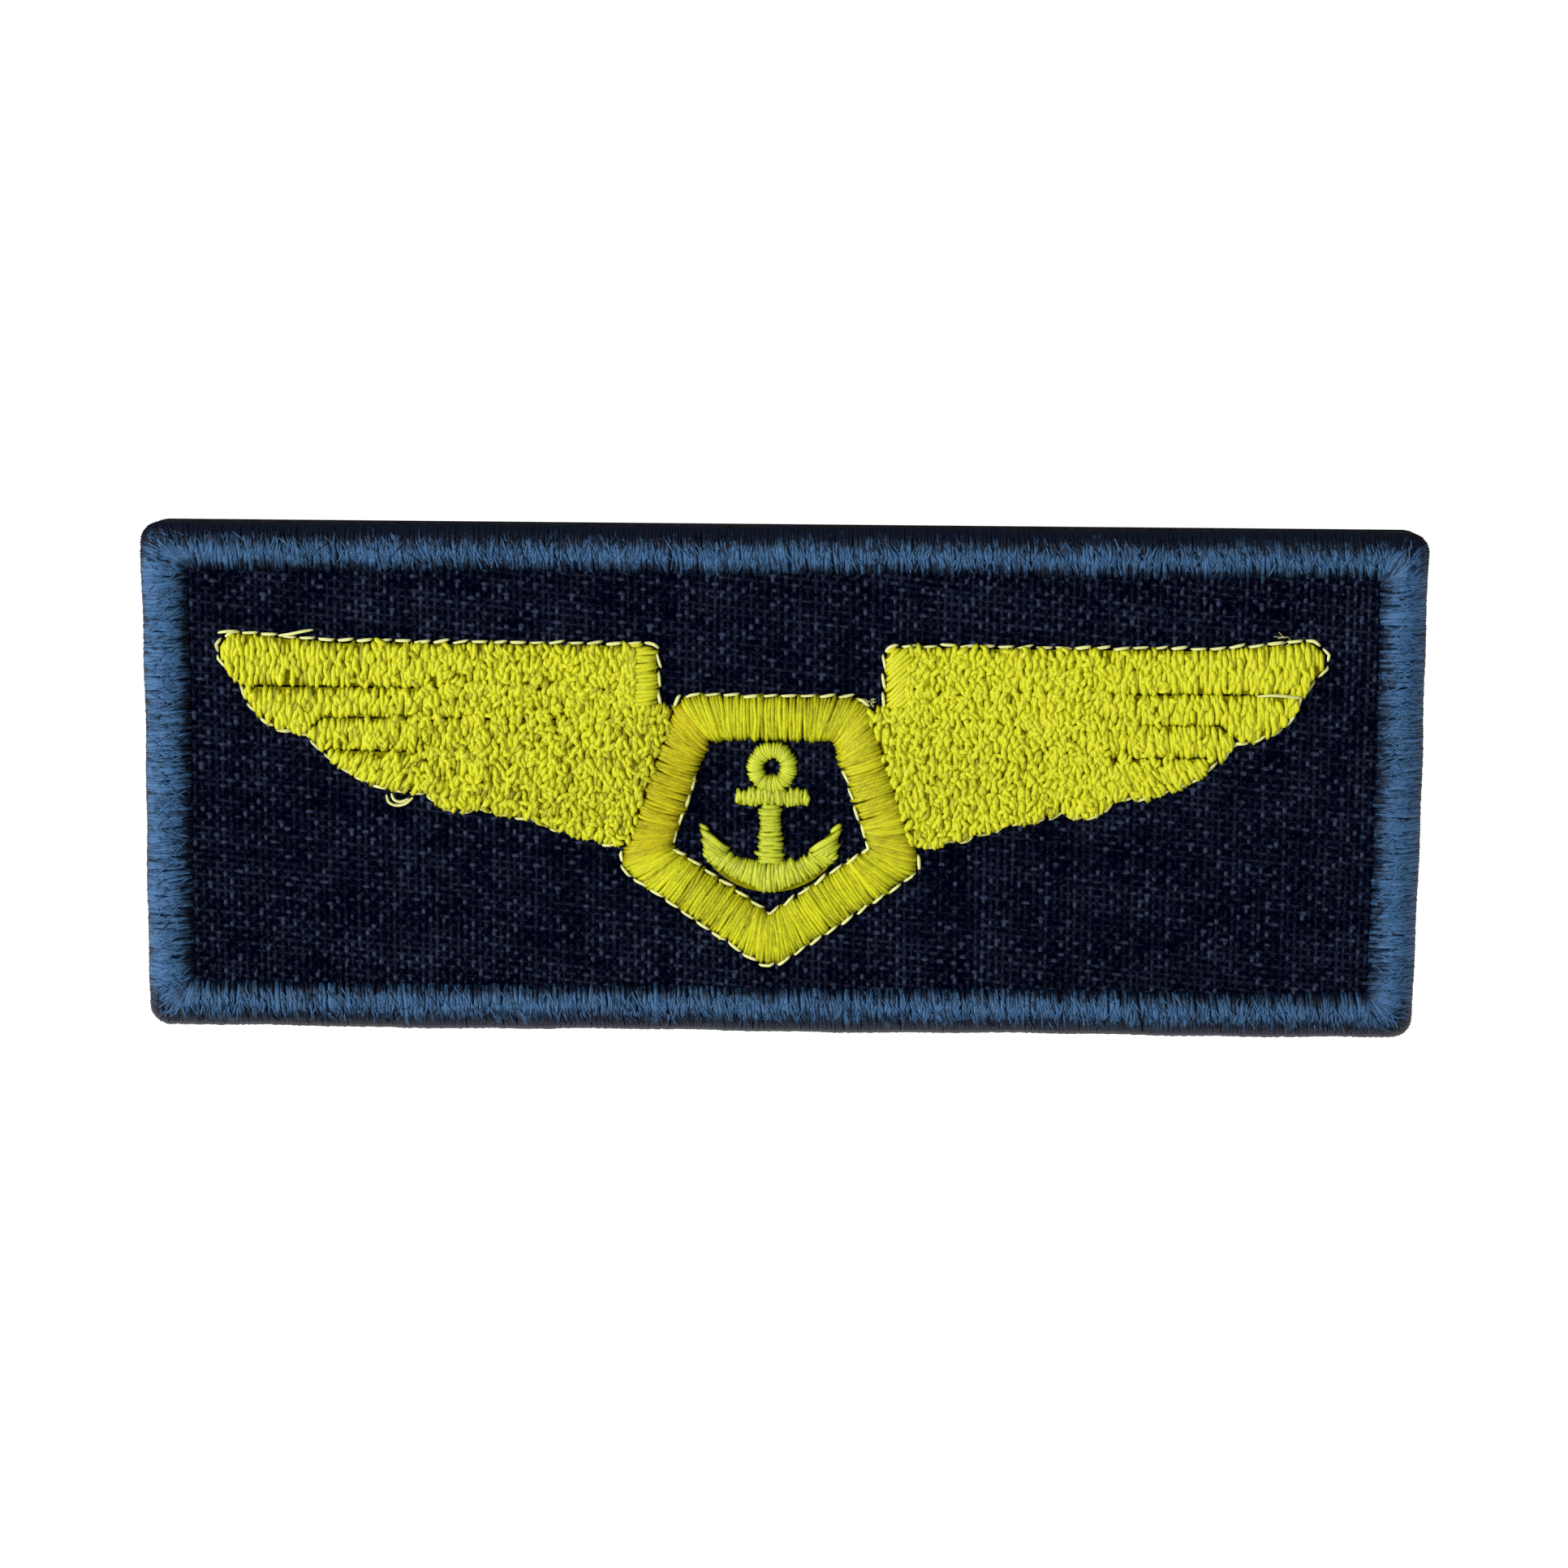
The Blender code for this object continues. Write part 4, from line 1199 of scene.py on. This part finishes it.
# The fields of a wing: name, length of stitch, lean from upright in radians
WING_FIELDS = (
    ("first_feather", 2.0, 0.03),
    ("second_feather", 2.2, 0.05),
    ("third_feather", 2.0, 0.12),
    ("fourth_feather", 1.6, 0.5),
    ("fifth_feather", 1.7, 0.1),
    ("root_fill", 1.5, 0.05),
)
# The wings: name, mirror, tint of the feathers, tint at the root, angle of the inner column; the
# right wing's higher tints are painted light that makes it brighter than the left
WINGS = (("left", -1, 0.5, 0.42, 0.1), ("right", 1, 0.68, 0.52, 0.75))
WING_TIP_OUT = 42.3
WING_ROOT_OUT = 9.6
SHIELD_OUTLINE_TONE = 0.62


def wing_tone(u, v):
    """The outline reads pale along the wing's top and inner end, and gold under the feathers."""
    out = abs(u - EMBLEM_U)
    if out > WING_TIP_OUT:
        return 0.42
    at_inner_end = out < WING_ROOT_OUT and v > 5
    return 0.72 if v > 8.6 or at_inner_end else 0.34


def make_wings(gold, cream, underlay):
    for number, (side, mirror, tone, root_tone, column_angle) in enumerate(WINGS):
        outline = f"{side}_wing_outline"
        rim = resampled(centre_line(outline), 0.1)
        for k, (field, length, lean) in enumerate(WING_FIELDS):
            rng = np.random.default_rng(100 + 10 * number + k)
            feather_field(f"{side}_{field}", rim, math.pi / 2 + mirror * lean, rng, length,
                          (gold, underlay), root_tone if field == "root_fill" else tone, mirror)
        rng = np.random.default_rng(200 + number)
        node = f"{side}_inner_column"
        lines = straight_lines(node, column_angle, 0.3, 0.14)
        satin_field(node, lines, rng, (gold, underlay), 0.44, tone, 0.08)
        running_stitch(f"{side}_wing_running_stitch", outline, rng, cream, wing_tone)


def make_shield(spun, underlay):
    sides = {"left_side": "amber_thread", "right_side": "warm_gold_thread"}
    for k, side in enumerate(SHIELD_SIDES):
        rng = np.random.default_rng(300 + k)
        used = (spun[sides.get(side, "satin_gold_thread")], underlay)
        satin_field(f"shield_{side}", shield_lines(k), rng, used, 0.6, 0.31)
    for k, name in enumerate(("top", "lower", "inner")):
        rng = np.random.default_rng(320 + k)
        running_stitch(f"shield_{name}_running_stitch", f"shield_{name}_outline", rng,
                       spun["outline_thread"], lambda u, v: SHIELD_OUTLINE_TONE)


def make_anchor(lime, underlay):
    for k, (node, lines) in enumerate((
        ("anchor_stock", anchor_stock_lines()),
        ("anchor_shank", straight_lines("anchor_shank", 0.0, 0.27)),
        ("anchor_arms", anchor_arm_lines()),
        ("anchor_left_fluke", straight_lines("anchor_left_fluke", math.radians(-35), 0.25)),
        ("anchor_right_fluke", straight_lines("anchor_right_fluke", math.radians(35), 0.25)),
    )):
        rng = np.random.default_rng(340 + k)
        satin_field(node, lines, rng, (lime, underlay), 0.45, 0.38)


def make_emblem():
    spun = {
        name: thread_material(name, dark, light, roughness, 0.0, specular)
        for name, (dark, light, roughness, specular) in EMBLEM_THREADS.items()
    }
    # The padding's thread is darker than the gold above it: painted shade for the gaps between
    # stitches
    underlay = cloth_material("thread_underlay_painted_shade", (0.13, 0.12, 0.0), (0.3, 0.28, 0.002), 2500)
    make_wings(spun["gold_thread"], spun["outline_thread"], underlay)
    make_shield(spun, underlay)
    make_anchor(spun["lime_thread"], underlay)
    make_loose_threads(np.random.default_rng(360), spun["outline_thread"])
    make_anchor_ring(np.random.default_rng(350), spun["lime_thread"])


def anchor_stock_lines():
    """Upright stitches of the anchor's crossbar, shorter towards its rounded ends."""
    low, high = (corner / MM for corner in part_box("anchor_stock"))
    count = round((high.x - low.x) / 0.25)
    t = (np.arange(count) + 0.5) / count * 2 - 1
    middle, half = (low.x + high.x) / 2, (high.x - low.x) / 2
    round_off = 1 - 0.35 * t**6
    top = low.z + 1.32 * round_off
    foot = np.full_like(t, low.z) + 0.15 * t**6
    u = middle + half * t
    return np.stack([np.stack([u, foot], -1), np.stack([u, top], -1)], 1)


def anchor_arm_lines():
    """Stitches across the anchor's curved arms, which lean outwards as the arms rise."""
    low, high = (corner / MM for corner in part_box("anchor_arms"))
    middle, half = (low.x + high.x) / 2, (high.x - low.x) / 2
    t = np.linspace(-1, 1, round(2 * half / 0.24))
    foot = np.stack([middle + (half + 0.1) * t, low.z + 2.45 * abs(t) ** 1.45], -1)
    top = np.stack([middle + 3.7 * t, high.z + 0.95 * abs(t) ** 2.4], -1)
    return np.stack([foot, top], 1)


# Free ends and slipped stitches: (points along the thread in u, v and height over the cloth)
LOOSE_THREADS = (
    ((-39.4, 11.35, 0.3), (-38.5, 11.5, 0.5), (-37.5, 11.72, 0.5), (-36.7, 11.82, 0.2)),
    ((-44.15, 11.5, 0.1), (-43.7, 11.62, 0.4), (-43.1, 11.68, 0.4), (-42.5, 11.6, 0.1)),
    ((-31.1, -1.2, 0.3), (-30.9, -1.8, 0.35), (-30.3, -2.05, 0.3), (-29.6, -1.9, 0.3),
     (-29.0, -1.4, 0.3)),
    ((-30.7, -1.1, 0.3), (-30.5, -1.55, 0.4), (-30.0, -1.75, 0.35), (-29.3, -1.5, 0.3)),
    ((37.0, 7.3, 0.5), (38.2, 7.42, 0.68), (39.4, 7.35, 0.68), (40.5, 7.2, 0.45)),
    ((-12.5, 9.6, 0.3), (-11.9, 9.2, 0.6), (-11.7, 8.6, 0.3)),
)
WISPS = ((39.4, 11.9, 0.5), (6.9, 6.4, 0.4), (-6.9, 6.3, 0.3))
WISP_FIBRES = 7


def make_loose_threads(rng, material):
    """Slipped stitches round the emblem, and a few wisps of single fibres."""
    count = 14
    paths = np.array([curve_through(points, count) for points in LOOSE_THREADS])
    paths[..., 2] += FACE_W
    tint = np.full((len(paths), 1), 0.45) + rng.normal(0, 0.08, (len(paths), 1))
    half = 0.12 * taper(count, 0.6)
    finish_piece(threads("loose_stitches", paths, half, half, tint, 8, 4.0), material, "patch")

    fibres = []
    for u, v, reach in WISPS:
        for _ in range(WISP_FIBRES):
            spots = [np.array([u, v, 0.15]) + rng.normal(0, 0.25, 3) * (1, 0.5, 0)]
            turn = rng.uniform(0, 2 * math.pi)
            for _ in range(3):
                turn += rng.normal(0, 0.9)
                way = np.array([math.cos(turn), 0.6 * math.sin(turn), 0.1])
                spots.append(spots[-1] + reach * way * 0.6)
            fibres.append(curve_through(spots, 9))
    paths = np.array(fibres)
    paths[..., 2] += FACE_W
    tint = rng.normal(0.5, 0.1, len(paths))
    finish_piece(threads("loose_fibres", paths, 0.028, 0.028, tint, 4, 0.0), material, "patch")


def make_anchor_ring(rng, material):
    """Satin stitches that radiate across the anchor's ring."""
    low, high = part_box("anchor_ring")
    centre = np.array([(low.x + high.x) / 2, (low.z + high.z) / 2]) / MM
    outer = (high.x - low.x) / 2 / MM
    inner = 0.7
    count = 46
    angle = 2 * math.pi * (np.arange(count) + rng.normal(0, 0.12, count)) / count
    way = ways_at(angle)
    pairs = np.stack([centre + way * inner, centre + way * (outer - 0.05)], 1)
    pairs = jittered(pairs, rng, 0.06, 0.02)
    points = 9
    paths = stitch_paths(pairs, FACE_W + 0.04, 0.45, rng, points, 2.6, 0.03, 0.1)
    widen = np.linspace(0.65, 1.15, points)[None, :]
    tint = strand_tint(count, points, rng, 0.5, 0.13, 0.22)
    piece = threads("anchor_ring_stitches", paths, 0.16 * taper(points, 0.6) * widen,
                    0.14 * taper(points, 0.6), tint, 6, 3.0)
    finish_piece(piece, material, "patch", ("anchor_ring",))


def make_patch_edge():
    blue = thread_material("border_blue_thread", (0.0015, 0.005, 0.017), (0.056, 0.147, 0.302),
                           0.42, 0.0, 0.2, 1.0, 0.85, 1700.0)
    core = cloth_material("border_core", (0.004, 0.012, 0.03), (0.012, 0.034, 0.075), 2500)
    make_border(np.random.default_rng(7), blue)
    make_border_fuzz(np.random.default_rng(8), blue)
    make_border_core(core)


def main():
    bpy.context.scene.view_settings.view_transform = "Standard"
    make_camera()
    make_world()
    make_floor()
    for lamp in LAMPS:
        area_light(*lamp)
    make_loop_tape(np.random.default_rng(2))
    make_hook_tape(np.random.default_rng(3))
    make_stiffener()
    colour_bobbin_thread()
    make_ground(np.random.default_rng(5))
    make_patch_edge()
    make_emblem()


main()
